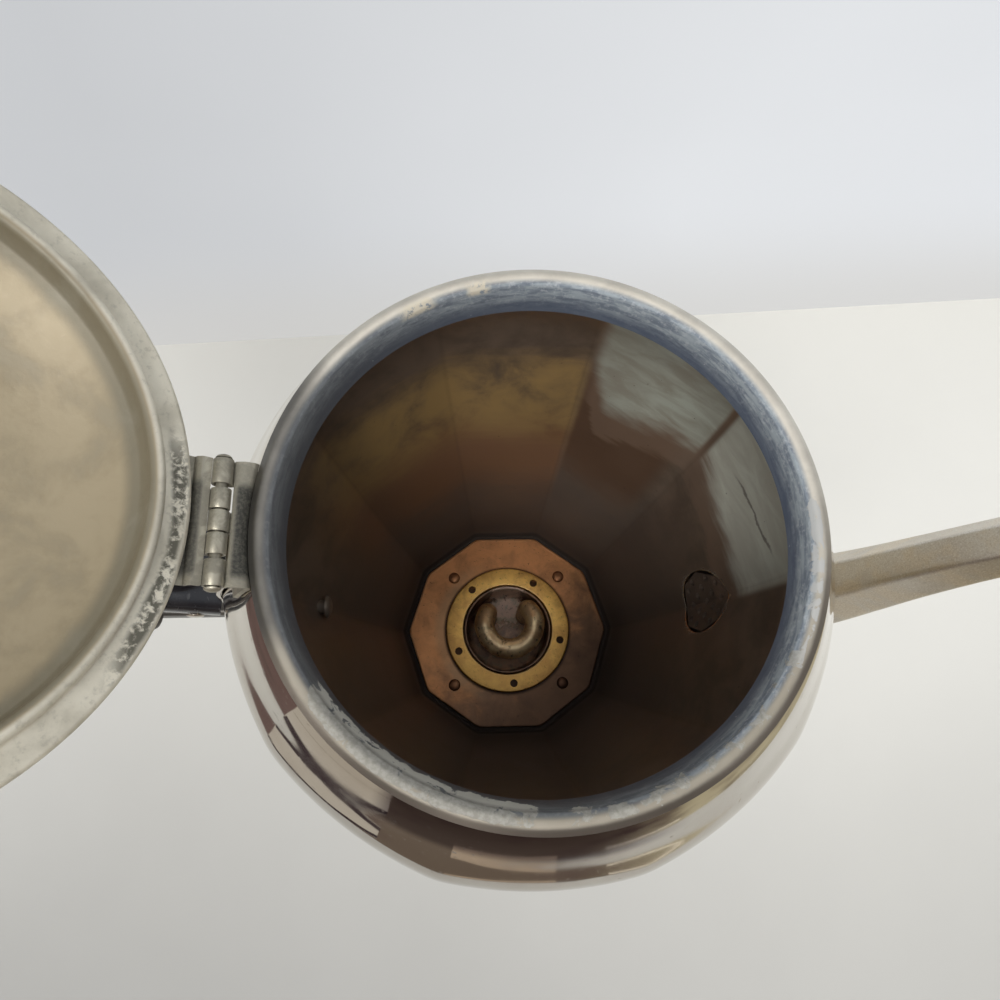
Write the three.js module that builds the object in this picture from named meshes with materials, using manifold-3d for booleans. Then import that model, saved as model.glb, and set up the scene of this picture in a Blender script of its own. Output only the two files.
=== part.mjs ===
// An empty electric coffee percolator: a ten-panelled pot on a heated base, its hinged lid standing open.
// The pot's axis is Z, the table is Z 0, the spout points along +X and the hinge and handle along -X.
import * as THREE from "three";
import { mergeVertices } from "three/addons/utils/BufferGeometryUtils.js";
import Module from "manifold-3d";

const wasm = await Module();
wasm.setup();

// Driving dimensions in millimetres, depths measured down from the rim's crest

// Clearances and cuts
const gap = 0.3;
const overrun = 6;

// Steps round the finer rings
const faceSteps = 11;
const faceSkip = 9;
const wellSteps = 24;
const knobSteps = 18;
const holeSteps = 10;
const boreSteps = 16;

// Pot shell
const panelCount = 10;
const ringSteps = 30;
const sheet = 1;
const floorHeight = 32;
const potDepth = 165.6;
const rimRadius = 54;
const beadWidth = 2.8;
const beadDrop = 1.1;
const bellyRadius = 73.8;
const bellyDepth = 46.8;
const heelRadius = 42.3;
const heelFillet = 1.6;
const heelFlangeRadius = 30;
const roundDepth = 18;
const flatDepth = 76;
const bellyFlatShare = 0.43;
const shoulderShares = [[0.15, 0.165], [0.385, 0.476], [0.673, 0.865]];
const waistShares = [[0.152, 0.037], [0.303, 0.161], [0.545, 0.396], [0.78, 0.659], [0.932, 0.861]];

// Rim collar
const collarSheet = 0.9;
const throatRadius = 51.4;
const throatDepth = 9;

// Floor, its rivets, and the ring nut
const floorSheet = 1.2;
const rivetCircle = 30.3;
const rivetRadius = 1.5;
const rivetHeadRadius = 2.3;
const rivetHeadHeight = 0.8;
const nutRadius = 24.7;
const nutBoreRadius = 17.7;
const nutHeight = 2.2;
const spannerCount = 5;
const spannerCircle = 21.4;
const spannerRadius = 1.5;
const spannerAngle = -12.7;

// Heater well and tubular heater
const wellSheet = 1;
const wellFlangeRadius = 23.6;
const wellFillet = 3;
const gasketSheet = 1.2;
const tubeRadius = 3.95;
const loopRadius = 9.9;
const loopRise = 6.5;
const loopShiftX = 0.6;
const loopShiftY = 1.6;
const legDrop = 7.5;
const studClear = 3.2;
const bendRadius = 4.5;
const glandRadius = 6;
const glandHeight = 4;
const studRadius = 1.4;
const studLength = 4.5;
const tagRadius = 3;
const tagSheet = 0.9;

// Base skirt, bottom plate, posts and screws
const skirtSheet = 1;
const skirtFlangeRadius = 26.5;
const footRadius = 52;
const footWidth = 4.2;
const footBand = 3.2;
const plateSheet = 1;
const plateRecess = 1.5;
const plateLip = 3;
const postCircle = 33;
const postRadius = 3;
const screwRadius = 1.3;
const screwHeadRadius = 2.9;
const screwHeadHeight = 1;
const screwLength = 9;
const slotWidth = 0.8;

// Power inlet under the handle
const inletWidth = 32;
const inletTall = 15;
const inletHeight = 14.5;
const inletReach = 62;
const inletSheet = 1.2;
const blockDepth = 5;
const pinPitch = 17.5;
const plugPinRadius = 2.4;
const plugPinReach = 12;
const tailRadius = 1.4;
const tailLength = 4;
const wireRadius = 1.1;
const wireHeight = 8;
const fuseRadius = 2.2;
const fuseLength = 11;

// Spout
const spoutSheet = 1;
const spoutRootDepth = 102;
const spoutTipDepth = 7;
const spoutRootReach = 48;
const spoutReach = 122;
const spoutWide = 30;
const spoutTall = 32;
const strainerWide = 20;
const strainerTall = 25;
const strainerHole = 1.2;
const strainerPitch = 4.6;

// Handle with its brackets
const handleWide = 21;
const handleThick = 14;
const handleRootDepth = 46;
const handleReach = 50;
const handleDrop = 58;
const socketSheet = 1.1;
const crossPinRadius = 1.2;
const crossPinHead = 0.5;
const saddleSheet = 1.2;
const saddleWide = 17;
const saddleTopDepth = 16;
const saddleFootDepth = 58;
const lugTall = 20;
const lugWide = 15;
const armTall = 7;
const armWide = 5;
const tongueDepth = 12;
const tongueTall = 7;
const tongueThick = 5;
const lugRivetRadius = 2.2;
const lugRivetHead = 3.6;
const lugRivetRise = 1.9;
const lugRivetLength = 10;

// Hinge
const hingeRadius = 61.8;
const hingeRise = 1.25;
const knuckleRadius = 1.95;
const hingePinRadius = 1.1;
const hingeBoreRadius = 1.42;
const hingePinHead = 1.6;
const hingePinHeadLength = 0.8;
const endKnuckle = 5;
const midKnuckle = 4;
const endSlack = 1;
const midSlack = 0.4;
const leafSheet = 1;
const leafNotch = 0.5;
const leafFootDepth = 11.5;
const leafTabReach = 8;

// Lid
const lidRadius = 56.5;
const lidSheet = 0.9;
const hemHeight = 2.1;
const plugRadius = 50.8;
const plugWidth = 2.8;
const plugDepth = 3.6;
const domeStep = 1.6;
const domeRise = 16;
const knobHoleRadius = 13;
const lidOpenAngle = 140;

// Glass knob with its collar and spring ring
const collarRadius = 16.5;
const collarHeight = 3;
const glassNeckRadius = 12.2;
const glassBulbRadius = 14.5;
const glassHeight = 24;
const glassWall = 2;
const glassTail = 6;
const springRadius = 15.5;
const springSheet = 0.8;

// Worked out once for several pieces
const rimHeight = floorHeight + potDepth;
const floorUnder = floorHeight - floorSheet;
const heelUnder = floorUnder - sheet;
const plateTop = plateRecess + plateSheet;
const radians = THREE.MathUtils.degToRad;

// Profiles and outlines

// Smooth line through points, in a given number of equal steps
function smooth(points, steps) {
  return new THREE.SplineCurve(points).getSpacedPoints(steps);
}

// Quarter turn of a fillet from one direction to another about its centre
function fillet(x, y, radius, fromDegrees, toDegrees, steps = 3) {
  const arc = [];
  for (let i = 0; i <= steps; i++) {
    const turn = radians(fromDegrees + ((toDegrees - fromDegrees) * i) / steps);
    arc.push(new THREE.Vector2(x + radius * Math.cos(turn), y + radius * Math.sin(turn)));
  }
  return arc;
}

// The line moved sideways to its left by a distance
function offsetLeft(line, distance) {
  return line.map((point, i) => {
    const before = line[Math.max(i - 1, 0)];
    const after = line[Math.min(i + 1, line.length - 1)];
    const inward = point.clone().sub(before).normalize();
    const onward = after.clone().sub(point).normalize();
    const along = inward.clone().add(onward).normalize();
    const bend = Math.max(i === 0 || i === line.length - 1 ? 1 : along.dot(onward), Math.SQRT1_2);
    return new THREE.Vector2(point.x - (along.y * distance) / bend, point.y + (along.x * distance) / bend);
  });
}

// Closed outline of a sheet whose face is the line and whose metal lies on the line's left
function sheetOutline(line, thickness) {
  return [...line, ...offsetLeft(line, thickness).reverse()];
}

// Solid of revolution about Z, its first step on the X axis; an outline off the axis closes on itself
function revolve(outline, steps = ringSteps) {
  const points = THREE.ShapeUtils.isClockWise(outline) ? [...outline].reverse() : [...outline];
  const onAxis = Math.abs(points[0].x) < Number.EPSILON && Math.abs(points.at(-1).x) < Number.EPSILON;
  if (!onAxis) points.push(points[0].clone());
  return new THREE.LatheGeometry(points, steps, Math.PI / 2).rotateX(Math.PI / 2);
}

// Disc or ring with square edges, standing on a height
function disc(radius, base, height, bore = 0, steps = ringSteps) {
  const outline = [[bore, base], [radius, base], [radius, base + height], [bore, base + height]];
  return revolve(outline.map(([x, y]) => new THREE.Vector2(x, y)), steps);
}

// Share of the corner radius that a flat panel has at an angle
function panelShare(angle) {
  const half = Math.PI / panelCount;
  const turn = THREE.MathUtils.euclideanModulo(angle, half + half) - half;
  return Math.cos(half) / Math.cos(turn);
}

// Presses flat panels into a revolved shape, as far as the share at each height says
function pressPanels(geometry, flatShareAt) {
  const place = geometry.getAttribute("position");
  for (let i = 0; i < place.count; i++) {
    const x = place.getX(i);
    const y = place.getY(i);
    const factor = 1 + flatShareAt(place.getZ(i)) * (panelShare(Math.atan2(y, x)) - 1);
    place.setXY(i, x * factor, y * factor);
  }
  return geometry;
}

// How far the panels are pressed flat on the pot: round at the shoulder, flat below the belly
function potFlatShare(height) {
  const depth = rimHeight - height;
  if (depth < bellyDepth) return bellyFlatShare * THREE.MathUtils.smoothstep(depth, roundDepth, bellyDepth);
  return THREE.MathUtils.mapLinear(Math.min(depth, flatDepth), bellyDepth, flatDepth, bellyFlatShare, 1);
}

// Skin over equal rings of points: a tube closes on its first ring, a bar is capped
function skin(rings, closed = false) {
  const count = rings[0].length;
  const faces = [];
  for (let i = 0; i < rings.length - (closed ? 0 : 1); i++) {
    const near = i * count;
    const far = ((i + 1) % rings.length) * count;
    for (let j = 0; j < count; j++) {
      const next = (j + 1) % count;
      faces.push(near + j, near + next, far + j);
      faces.push(near + next, far + next, far + j);
    }
  }
  const end = (rings.length - 1) * count;
  for (let j = 1; j < count - 1 && !closed; j++) {
    faces.push(0, j + 1, j);
    faces.push(end, end + j, end + j + 1);
  }
  const geometry = new THREE.BufferGeometry().setFromPoints(rings.flat());
  return faceOut(geometry.setIndex(faces));
}

// Turns the faces round if they point inwards
function faceOut(geometry) {
  const place = geometry.getAttribute("position");
  const index = geometry.getIndex();
  const [a, b, c] = [new THREE.Vector3(), new THREE.Vector3(), new THREE.Vector3()];
  let volume = 0;
  for (let i = 0; i < index.count; i += 3) {
    a.fromBufferAttribute(place, index.getX(i));
    b.fromBufferAttribute(place, index.getX(i + 1));
    c.fromBufferAttribute(place, index.getX(i + 2));
    volume += a.dot(b.cross(c));
  }
  if (volume < 0) geometry.setIndex([...index.array].reverse());
  return geometry;
}

// Rings of points square to a path in the XZ plane, each scaled to its own half thickness and half width
function ringsAlong(path, section, halfThick, halfWide, stretch = 0) {
  const last = path.length - 1;
  return path.map((point, i) => {
    const forward = path[Math.min(i + 1, last)].clone().sub(path[Math.max(i - 1, 0)]).normalize();
    const push = i === 0 ? -stretch : i === last ? stretch : 0;
    const place = point.clone().addScaledVector(forward, push);
    return section.map(([s, t]) => {
      const rise = s * halfThick(i / last);
      const [x, z] = [place.x - forward.y * rise, place.y + forward.x * rise];
      return new THREE.Vector3(x, t * halfWide(i / last), z);
    });
  });
}

// Value of a table of shares, evenly spaced from 0 to 1
function along(tableShares, share) {
  const place = share * (tableShares.length - 1);
  const i = Math.min(Math.floor(place), tableShares.length - 2);
  return THREE.MathUtils.lerp(tableShares[i], tableShares[i + 1], place - i);
}

// Unit section with rounded corners: a power of 2 is an ellipse, a higher one is boxier
function roundSection(power, steps) {
  return Array.from({ length: steps }, (_, i) => {
    const turn = (2 * Math.PI * i) / steps;
    const bend = (value) => Math.sign(value) * Math.abs(value) ** (2 / power);
    return [bend(Math.cos(turn)), bend(Math.sin(turn))];
  });
}

// Rectangle with round corners as a shape
function roundedRectangle(wide, tall, corner) {
  const [x, y] = [wide / 2, tall / 2];
  const shape = new THREE.Shape();
  shape.absarc(x - corner, y - corner, corner, 0, Math.PI / 2);
  shape.absarc(corner - x, y - corner, corner, Math.PI / 2, Math.PI);
  shape.absarc(corner - x, corner - y, corner, Math.PI, Math.PI * 1.5);
  shape.absarc(x - corner, corner - y, corner, Math.PI * 1.5, Math.PI * 2);
  return shape;
}

// Shape extruded along X between two places, its own axes becoming Y and Z
function barAlongX(shape, x0, x1, z) {
  const settings = { depth: x1 - x0, curveSegments: 4, bevelEnabled: false };
  const bar = new THREE.ExtrudeGeometry(shape, settings);
  return bar.rotateX(Math.PI / 2).rotateZ(Math.PI / 2).translate(x0, 0, z);
}

// Cylinder along X or Y between two places
function rodAlongX(radius, x0, x1, z, y = 0, steps = boreSteps) {
  return disc(radius, 0, x1 - x0, 0, steps).rotateY(Math.PI / 2).translate(x0, y, z);
}

function rodAlongY(radius, y0, y1, x, z, steps = boreSteps) {
  return disc(radius, 0, y1 - y0, 0, steps).rotateX(-Math.PI / 2).translate(x, y0, z);
}

// Box between two corners
function box(x0, x1, y0, y1, z0, z1) {
  const geometry = new THREE.BoxGeometry(x1 - x0, y1 - y0, z1 - z0);
  return geometry.translate((x0 + x1) / 2, (y0 + y1) / 2, (z0 + z1) / 2);
}

// Tube of a round section along a curve
function tube(curve, radius, steps, sides) {
  const section = new THREE.Shape();
  section.absarc(0, 0, radius, 0, Math.PI * 2);
  return new THREE.ExtrudeGeometry(section, { steps, curveSegments: sides, extrudePath: curve });
}

// Joining and cutting
function solid(geometry) {
  const bare = geometry.clone();
  bare.deleteAttribute("normal");
  bare.deleteAttribute("uv");
  const merged = mergeVertices(bare);
  return new wasm.Manifold(
    new wasm.Mesh({
      numProp: 3,
      vertProperties: new Float32Array(merged.getAttribute("position").array),
      triVerts: new Uint32Array(merged.getIndex().array),
    }),
  );
}

function joined(first, ...others) {
  return others.reduce((sum, other) => sum.add(solid(other)), solid(first));
}

function cut(body, ...tools) {
  return tools.reduce((rest, tool) => rest.subtract(solid(tool)), body);
}

function geometryOf(body) {
  const mesh = body.getMesh();
  const geometry = new THREE.BufferGeometry();
  geometry.setAttribute("position", new THREE.BufferAttribute(new Float32Array(mesh.vertProperties), 3));
  return geometry.setIndex([...mesh.triVerts]);
}

// Finishes
const finish = {
  nickel: () => new THREE.MeshStandardMaterial({ color: 0xb9b2a4, roughness: 0.22, metalness: 1 }),
  tarnish: () => new THREE.MeshStandardMaterial({ color: 0x6f7b8a, roughness: 0.45, metalness: 0.9 }),
  copper: () => new THREE.MeshStandardMaterial({ color: 0x9a5a35, roughness: 0.42, metalness: 0.95 }),
  brass: () => new THREE.MeshStandardMaterial({ color: 0xb99a55, roughness: 0.38, metalness: 0.95 }),
  heater: () => new THREE.MeshStandardMaterial({ color: 0x6d5a3c, roughness: 0.35, metalness: 0.9 }),
  steel: () => new THREE.MeshStandardMaterial({ color: 0x8f9194, roughness: 0.4, metalness: 1 }),
  ebony: () => new THREE.MeshStandardMaterial({ color: 0x0c0d12, roughness: 0.18, metalness: 0 }),
  ceramic: () => new THREE.MeshStandardMaterial({ color: 0xe4ddcd, roughness: 0.6, metalness: 0 }),
  rubber: () => new THREE.MeshStandardMaterial({ color: 0x2a2a2b, roughness: 0.8, metalness: 0 }),
  glass: () => new THREE.MeshStandardMaterial({ color: 0xeef2f0, roughness: 0.05, opacity: 0.35 }),
};

function piece(name, shape, material) {
  const geometry = shape.isBufferGeometry ? shape : geometryOf(shape);
  const mesh = new THREE.Mesh(geometry, material);
  mesh.name = name;
  return mesh;
}

// Pot shell

const beadRadius = rimRadius + beadWidth;
const shellTopDepth = beadDrop + collarSheet + gap;

// Outer face of the pot as points of corner radius and height, from the heel up to the rim
function potFace(fromDepth = potDepth, toDepth = shellTopDepth) {
  const { lerp } = THREE.MathUtils;
  const at = (depth, radius) => new THREE.Vector2(radius, rimHeight - depth);
  const waist = waistShares.map(([down, narrow]) =>
    at(lerp(bellyDepth, potDepth, down), lerp(bellyRadius, heelRadius, narrow)),
  );
  const shoulder = shoulderShares.map(([down, swell]) =>
    at(bellyDepth * down, lerp(beadRadius, bellyRadius, swell)),
  );
  const points = [at(potDepth, heelRadius), ...waist.reverse()];
  points.push(at(bellyDepth, bellyRadius), ...shoulder.reverse(), at(shellTopDepth, beadRadius));
  const face = smooth(points, faceSteps * faceSkip);
  const kept = face.filter((point) => point.y >= rimHeight - fromDepth && point.y <= rimHeight - toDepth);
  return kept.filter((_, i) => i % faceSkip === 0 || i === kept.length - 1);
}

function potShellLine() {
  const flange = [new THREE.Vector2(heelFlangeRadius, heelUnder)];
  const heel = fillet(heelRadius - heelFillet, heelUnder + heelFillet, heelFillet, -90, 0);
  return [...flange, ...heel, ...potFace().slice(1)];
}

// Solid space that the pot's outer face fills, swollen by a clearance
function potSpace(clearance) {
  const line = [...offsetLeft(potFace(), -clearance)];
  const outline = [new THREE.Vector2(0, line[0].y), ...line, new THREE.Vector2(0, line.at(-1).y)];
  return pressPanels(revolve(outline), potFlatShare);
}

// Plate that hugs the pot outside between two depths, on the handle's side
function saddle(fromDepth, toDepth, thickness, wide) {
  const line = offsetLeft(potFace(fromDepth, toDepth), -gap);
  const band = pressPanels(revolve(sheetOutline([...line].reverse(), thickness)), potFlatShare);
  const slice = box(-bellyRadius - overrun, 0, -wide / 2, wide / 2, 0, rimHeight);
  return solid(band).intersect(solid(slice));
}

// Corner radius of the pot's outer face at a depth
function potRadiusAt(depth) {
  const face = potFace();
  const above = Math.max(face.findIndex((point) => point.y >= rimHeight - depth), 1);
  const [low, high] = [face[above - 1], face[above]];
  return THREE.MathUtils.mapLinear(rimHeight - depth, low.y, high.y, low.x, high.x);
}

const spoutRootHeight = rimHeight - spoutRootDepth;

// Oval window behind the spout, or the strainer that fills it, as a bar along X
function strainerBar(margin) {
  const section = new THREE.Shape();
  section.absellipse(0, 0, strainerWide / 2 - margin, strainerTall / 2 - margin, 0, Math.PI * 2);
  return barAlongX(section, 0, bellyRadius, spoutRootHeight);
}

function shellWall() {
  return pressPanels(revolve(sheetOutline(potShellLine(), sheet)), potFlatShare);
}

function potShell() {
  const rivetHole = rodAlongX(lugRivetRadius + gap, -bellyRadius, 0, handleEnd.y);
  const rivetHoles = rivetPlaces().map(([x, y]) =>
    disc(rivetRadius + gap, heelUnder - overrun, floorHeight, 0, holeSteps).translate(x, y, 0),
  );
  return cut(solid(shellWall()), strainerBar(0), rivetHole, ...rivetHoles);
}

function spoutStrainer() {
  const rows = Math.floor(strainerTall / 2 / strainerPitch);
  const holes = [];
  for (let row = -rows; row <= rows; row++) {
    for (let column = -rows; column <= rows; column++) {
      const y = (column + (row % 2) / 2) * strainerPitch;
      const z = row * strainerPitch * Math.sin(Math.PI / 3);
      const reach = Math.hypot(y / strainerWide, z / strainerTall) + strainerPitch / strainerTall / 2;
      if (reach < 1 / 2) holes.push(rodAlongX(strainerHole, 0, bellyRadius, spoutRootHeight + z, y, 6));
    }
  }
  return cut(solid(shellWall()).intersect(solid(strainerBar(gap))), ...holes);
}

// Rolled collar from the outer bead over the crest and down to the throat
function rimCollar() {
  const bead = new THREE.Vector2(beadRadius, rimHeight - beadDrop);
  const crestOut = new THREE.Vector2(rimRadius + beadWidth / 2, rimHeight - beadDrop / 5);
  const crest = new THREE.Vector2(rimRadius, rimHeight);
  const crestIn = new THREE.Vector2(rimRadius - beadDrop, rimHeight - beadDrop);
  const throat = new THREE.Vector2(throatRadius, rimHeight - throatDepth);
  const roll = smooth([bead, crestOut, crest, crestIn], 5);
  return revolve(sheetOutline([...roll, throat], collarSheet));
}

// Floor, rivets, heater well and heater

function rivetPlaces() {
  return [45, 135, 225, 315].map((angle) => [
    rivetCircle * Math.cos(radians(angle)),
    rivetCircle * Math.sin(radians(angle)),
  ]);
}

const neckRadius = nutBoreRadius - gap;

function floorPlate() {
  const plateRadius = heelRadius - sheet - heelFillet;
  const plate = pressPanels(disc(plateRadius, floorUnder, floorSheet), () => 1);
  const through = floorSheet + overrun + overrun;
  const neckHole = disc(nutBoreRadius, floorUnder - overrun, through);
  const holes = rivetPlaces().map(([x, y]) =>
    disc(rivetRadius + gap, floorUnder - overrun, through, 0, holeSteps).translate(x, y, 0),
  );
  return cut(solid(plate), neckHole, ...holes);
}

function domeHead(radius, rise, shank, length) {
  const dome = [];
  for (let i = 0; i <= 4; i++) {
    const turn = (i / 4) * (Math.PI / 2);
    dome.push(new THREE.Vector2(radius * Math.cos(turn), rise * Math.sin(turn)));
  }
  dome[4].x = 0;
  const stem = [[0, -length], [shank, -length], [shank, 0]].map(([x, y]) => new THREE.Vector2(x, y));
  return revolve([...stem, ...dome], holeSteps);
}

function floorRivet() {
  const shank = floorSheet + sheet + skirtSheet + gap;
  return domeHead(rivetHeadRadius, rivetHeadHeight, rivetRadius, shank + gap).translate(0, 0, gap);
}

function ringNut() {
  const corner = nutHeight / 5;
  const outline = [
    [nutBoreRadius, 0],
    [nutRadius, 0],
    [nutRadius, nutHeight - corner],
    [nutRadius - corner, nutHeight],
    [nutBoreRadius + corner, nutHeight],
    [nutBoreRadius, nutHeight - corner],
  ].map(([x, y]) => new THREE.Vector2(x, floorHeight + y));
  const holes = [];
  for (let i = 0; i < spannerCount; i++) {
    const turn = radians(spannerAngle) + (2 * Math.PI * i) / spannerCount;
    const hole = disc(spannerRadius, floorHeight - overrun, nutHeight + overrun + overrun, 0, holeSteps);
    holes.push(hole.translate(spannerCircle * Math.cos(turn), spannerCircle * Math.sin(turn), 0));
  }
  return cut(solid(revolve(outline)), ...holes);
}

const gasketTop = floorUnder;
const wellFlangeTop = gasketTop - gasketSheet;
const legFoot = plateTop + studClear + studLength + gap;
const wellFloor = legFoot + legDrop + wellSheet;

function wellGasket() {
  return disc(wellFlangeRadius, wellFlangeTop, gasketSheet, neckRadius + gap, wellSteps);
}

// Angles, in degrees, at which the two legs of the horseshoe stand
const legAngles = [150, 38];

function legPlace(angle) {
  const turn = radians(angle);
  return [loopShiftX + loopRadius * Math.cos(turn), loopShiftY + loopRadius * Math.sin(turn)];
}

// Cup with a neck that passes up through the floor, a flange under the gasket and holes for the heater's legs
function heaterWell() {
  const inner = neckRadius - wellSheet;
  const top = floorHeight + nutHeight - gap;
  const outline = [
    [0, wellFloor - wellSheet],
    [inner - wellFillet, wellFloor - wellSheet],
    [neckRadius, wellFloor + wellFillet - wellSheet],
    [neckRadius, wellFlangeTop - wellSheet],
    [wellFlangeRadius, wellFlangeTop - wellSheet],
    [wellFlangeRadius, wellFlangeTop],
    [neckRadius, wellFlangeTop],
    [neckRadius, top],
    [inner, top],
    [inner, wellFloor + wellFillet],
    [inner - wellFillet, wellFloor],
    [0, wellFloor],
  ].map(([x, y]) => new THREE.Vector2(x, y));
  const holes = legAngles.map((angle) => {
    const [x, y] = legPlace(angle);
    return disc(tubeRadius + gap, wellFloor - overrun, overrun + overrun, 0, boreSteps).translate(x, y, 0);
  });
  return cut(solid(revolve(outline, wellSteps)), ...holes);
}

const loopHeight = floorHeight + loopRise;

// Horseshoe of tube: up one leg, round the near side and down the other
function heaterLoop() {
  const at = (angle, height) => {
    const [x, y] = legPlace(angle);
    return new THREE.Vector3(x, y, height);
  };
  const [first, last] = legAngles;
  const bendTurn = THREE.MathUtils.radToDeg(bendRadius / loopRadius);
  const sweep = 360 - (first - last) - bendTurn - bendTurn;
  const points = [at(first, legFoot), at(first, wellFloor), at(first, loopHeight - bendRadius)];
  for (let i = 0; i <= 10; i++) points.push(at(first + bendTurn + (sweep * i) / 10, loopHeight));
  points.push(at(last, loopHeight - bendRadius), at(last, wellFloor), at(last, legFoot));
  return tube(new THREE.CatmullRomCurve3(points, false, "centripetal"), tubeRadius, 36, 5);
}

function heaterGland() {
  const base = wellFloor - wellSheet - glandHeight;
  const bore = disc(tubeRadius + gap, base - overrun, glandHeight + overrun + overrun, 0, boreSteps);
  return cut(solid(disc(glandRadius, base, glandHeight, 0, 6)), bore);
}

function heaterStud() {
  return disc(studRadius, legFoot - gap - studLength, studLength, 0, holeSteps);
}

function terminalTag() {
  return disc(tagRadius, legFoot - gap - studLength / 2, tagSheet, studRadius + gap, holeSteps);
}

// Base skirt, bottom plate, posts and screws

const skirtTopRadius = heelRadius - heelFillet;
const flareShares = [[0.62, 0.3], [0.16, 0.65]];

// Outer face from the foot's flat ring up the flare and in under the pot's floor
function skirtLine() {
  const foot = new THREE.Vector2(footRadius - footWidth, 0);
  const corner = fillet(footRadius - footBand / 2, footBand / 2, footBand / 2, -90, 0, 2);
  const middle = flareShares.map(
    ([out, up]) => new THREE.Vector2(THREE.MathUtils.lerp(skirtTopRadius, footRadius, out), heelUnder * up),
  );
  const [low, high] = [new THREE.Vector2(footRadius, footBand), new THREE.Vector2(skirtTopRadius, heelUnder)];
  const flare = smooth([low, ...middle, high], 5);
  return [foot, ...corner, ...flare, new THREE.Vector2(skirtFlangeRadius, heelUnder)];
}

function skirtFlatShare(height) {
  return THREE.MathUtils.smoothstep(height, footBand, heelUnder);
}

function baseSkirt() {
  const shell = solid(pressPanels(revolve(sheetOutline(skirtLine(), skirtSheet)), skirtFlatShare));
  const window = inletBar(windowWide, windowTall, -footRadius, 0);
  const holes = rivetPlaces().map(([x, y]) =>
    disc(rivetRadius + gap, heelUnder - overrun, overrun + overrun, 0, holeSteps).translate(x, y, 0),
  );
  return cut(shell, window, ...holes);
}

function skirtSpace() {
  const line = offsetLeft(skirtLine().slice(1, -1), -gap);
  const outline = [new THREE.Vector2(0, line[0].y - overrun), ...line, new THREE.Vector2(0, line.at(-1).y)];
  return pressPanels(revolve(outline), skirtFlatShare);
}

const postPlaces = [[0, postCircle], [0, -postCircle]];
const dimpleRadius = screwHeadRadius + gap;
const dimpleFloor = plateRecess + screwHeadHeight + gap + gap;

// Pressed pan that closes the base, with a dimple for the head of each of its two screws
function bottomPlate() {
  const radius = footRadius - footWidth - gap;
  const outline = [
    [0, plateRecess],
    [radius, plateRecess],
    [radius, plateTop + plateLip],
    [radius - plateSheet, plateTop + plateLip],
    [radius - plateSheet, plateTop],
    [0, plateTop],
  ].map(([x, y]) => new THREE.Vector2(x, y));
  const dimpleTop = dimpleFloor + plateSheet;
  const dimples = postPlaces.map(([x, y]) =>
    disc(dimpleRadius + plateSheet, plateRecess, dimpleTop - plateRecess, 0, boreSteps).translate(x, y, 0),
  );
  const wells = postPlaces.map(([x, y]) =>
    disc(dimpleRadius, dimpleFloor - overrun, overrun, 0, boreSteps).translate(x, y, 0),
  );
  const holes = postPlaces.map(([x, y]) =>
    disc(screwRadius + gap, -overrun, dimpleTop + overrun + overrun, 0, holeSteps).translate(x, y, 0),
  );
  return cut(joined(revolve(outline), ...dimples), ...wells, ...holes);
}

function platePost() {
  const foot = dimpleFloor + plateSheet;
  const bore = disc(screwRadius + gap, foot - overrun, screwLength + overrun, 0, holeSteps);
  return cut(solid(disc(postRadius, foot, heelUnder - skirtSheet - foot, 0, 6)), bore);
}

// Slotted screw standing on its head
function plateScrew() {
  const half = slotWidth / 2;
  const body = joined(
    disc(screwHeadRadius, 0, screwHeadHeight, 0, boreSteps),
    disc(screwRadius, screwHeadHeight / 2, screwLength, 0, holeSteps),
  );
  return cut(body, box(-screwHeadRadius, screwHeadRadius, -half, half, -overrun, screwHeadHeight / 2));
}

// Power inlet

// Bar along X with the inlet's rounded section
function inletBar(wide, tall, x0, x1) {
  return barAlongX(roundedRectangle(wide, tall, tall / 4), x0, x1, inletHeight);
}

const windowWide = inletWidth - inletSheet - inletSheet;
const windowTall = inletTall - inletSheet - inletSheet;
const blockFace = footRadius - blockDepth;

function inletShroud() {
  const sleeve = solid(inletBar(inletWidth, inletTall, -inletReach, -heelFlangeRadius));
  const bore = inletBar(windowWide, windowTall, -inletReach - overrun, overrun);
  return cut(sleeve, bore, skirtSpace());
}

function inletBlock() {
  const [wide, tall] = [windowWide - gap - gap, windowTall - gap - gap];
  const block = solid(inletBar(wide, tall, -blockFace, blockDepth - blockFace));
  const bores = [-pinPitch / 2, pinPitch / 2].map((y) =>
    rodAlongX(plugPinRadius + gap, -inletReach, 0, inletHeight, y),
  );
  return cut(block, ...bores);
}

function plugPin() {
  const outer = -blockFace - plugPinReach;
  const tip = plugPinRadius / 2;
  const length = plugPinReach + blockDepth;
  const outline = [
    [0, 0],
    [plugPinRadius - tip, 0],
    [plugPinRadius, tip],
    [plugPinRadius, length],
    [tailRadius, length],
    [tailRadius, length + tailLength],
    [0, length + tailLength],
  ].map(([x, y]) => new THREE.Vector2(x, y));
  return revolve(outline, holeSteps).rotateY(Math.PI / 2).translate(outer, 0, inletHeight);
}

const tailEnd = blockDepth + tailLength - blockFace;

// Insulated wire between two places, sagging to the wiring height on its way
function wire(from, to) {
  const middle = from.clone().lerp(to, 1 / 2).setZ(wireHeight);
  const early = from.clone().lerp(middle, 1 / 2).setZ(wireHeight);
  return tube(new THREE.CatmullRomCurve3([from, early, middle, to]), wireRadius, 9, 4);
}

function studPlace(index) {
  const [x, y] = legPlace(legAngles[index]);
  return new THREE.Vector3(x - tagRadius - wireRadius, y, legFoot - gap - studLength / 2);
}

function tailPlace(side) {
  return new THREE.Vector3(tailEnd + gap + wireRadius, (side * pinPitch) / 2, inletHeight);
}

const fusePlace = new THREE.Vector3(-heelFlangeRadius / 2, -pinPitch / 2, wireHeight);

function thermalFuse() {
  const half = fuseLength / 2;
  return rodAlongX(fuseRadius, fusePlace.x - half, fusePlace.x + half, fusePlace.z, fusePlace.y, holeSteps);
}

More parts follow.
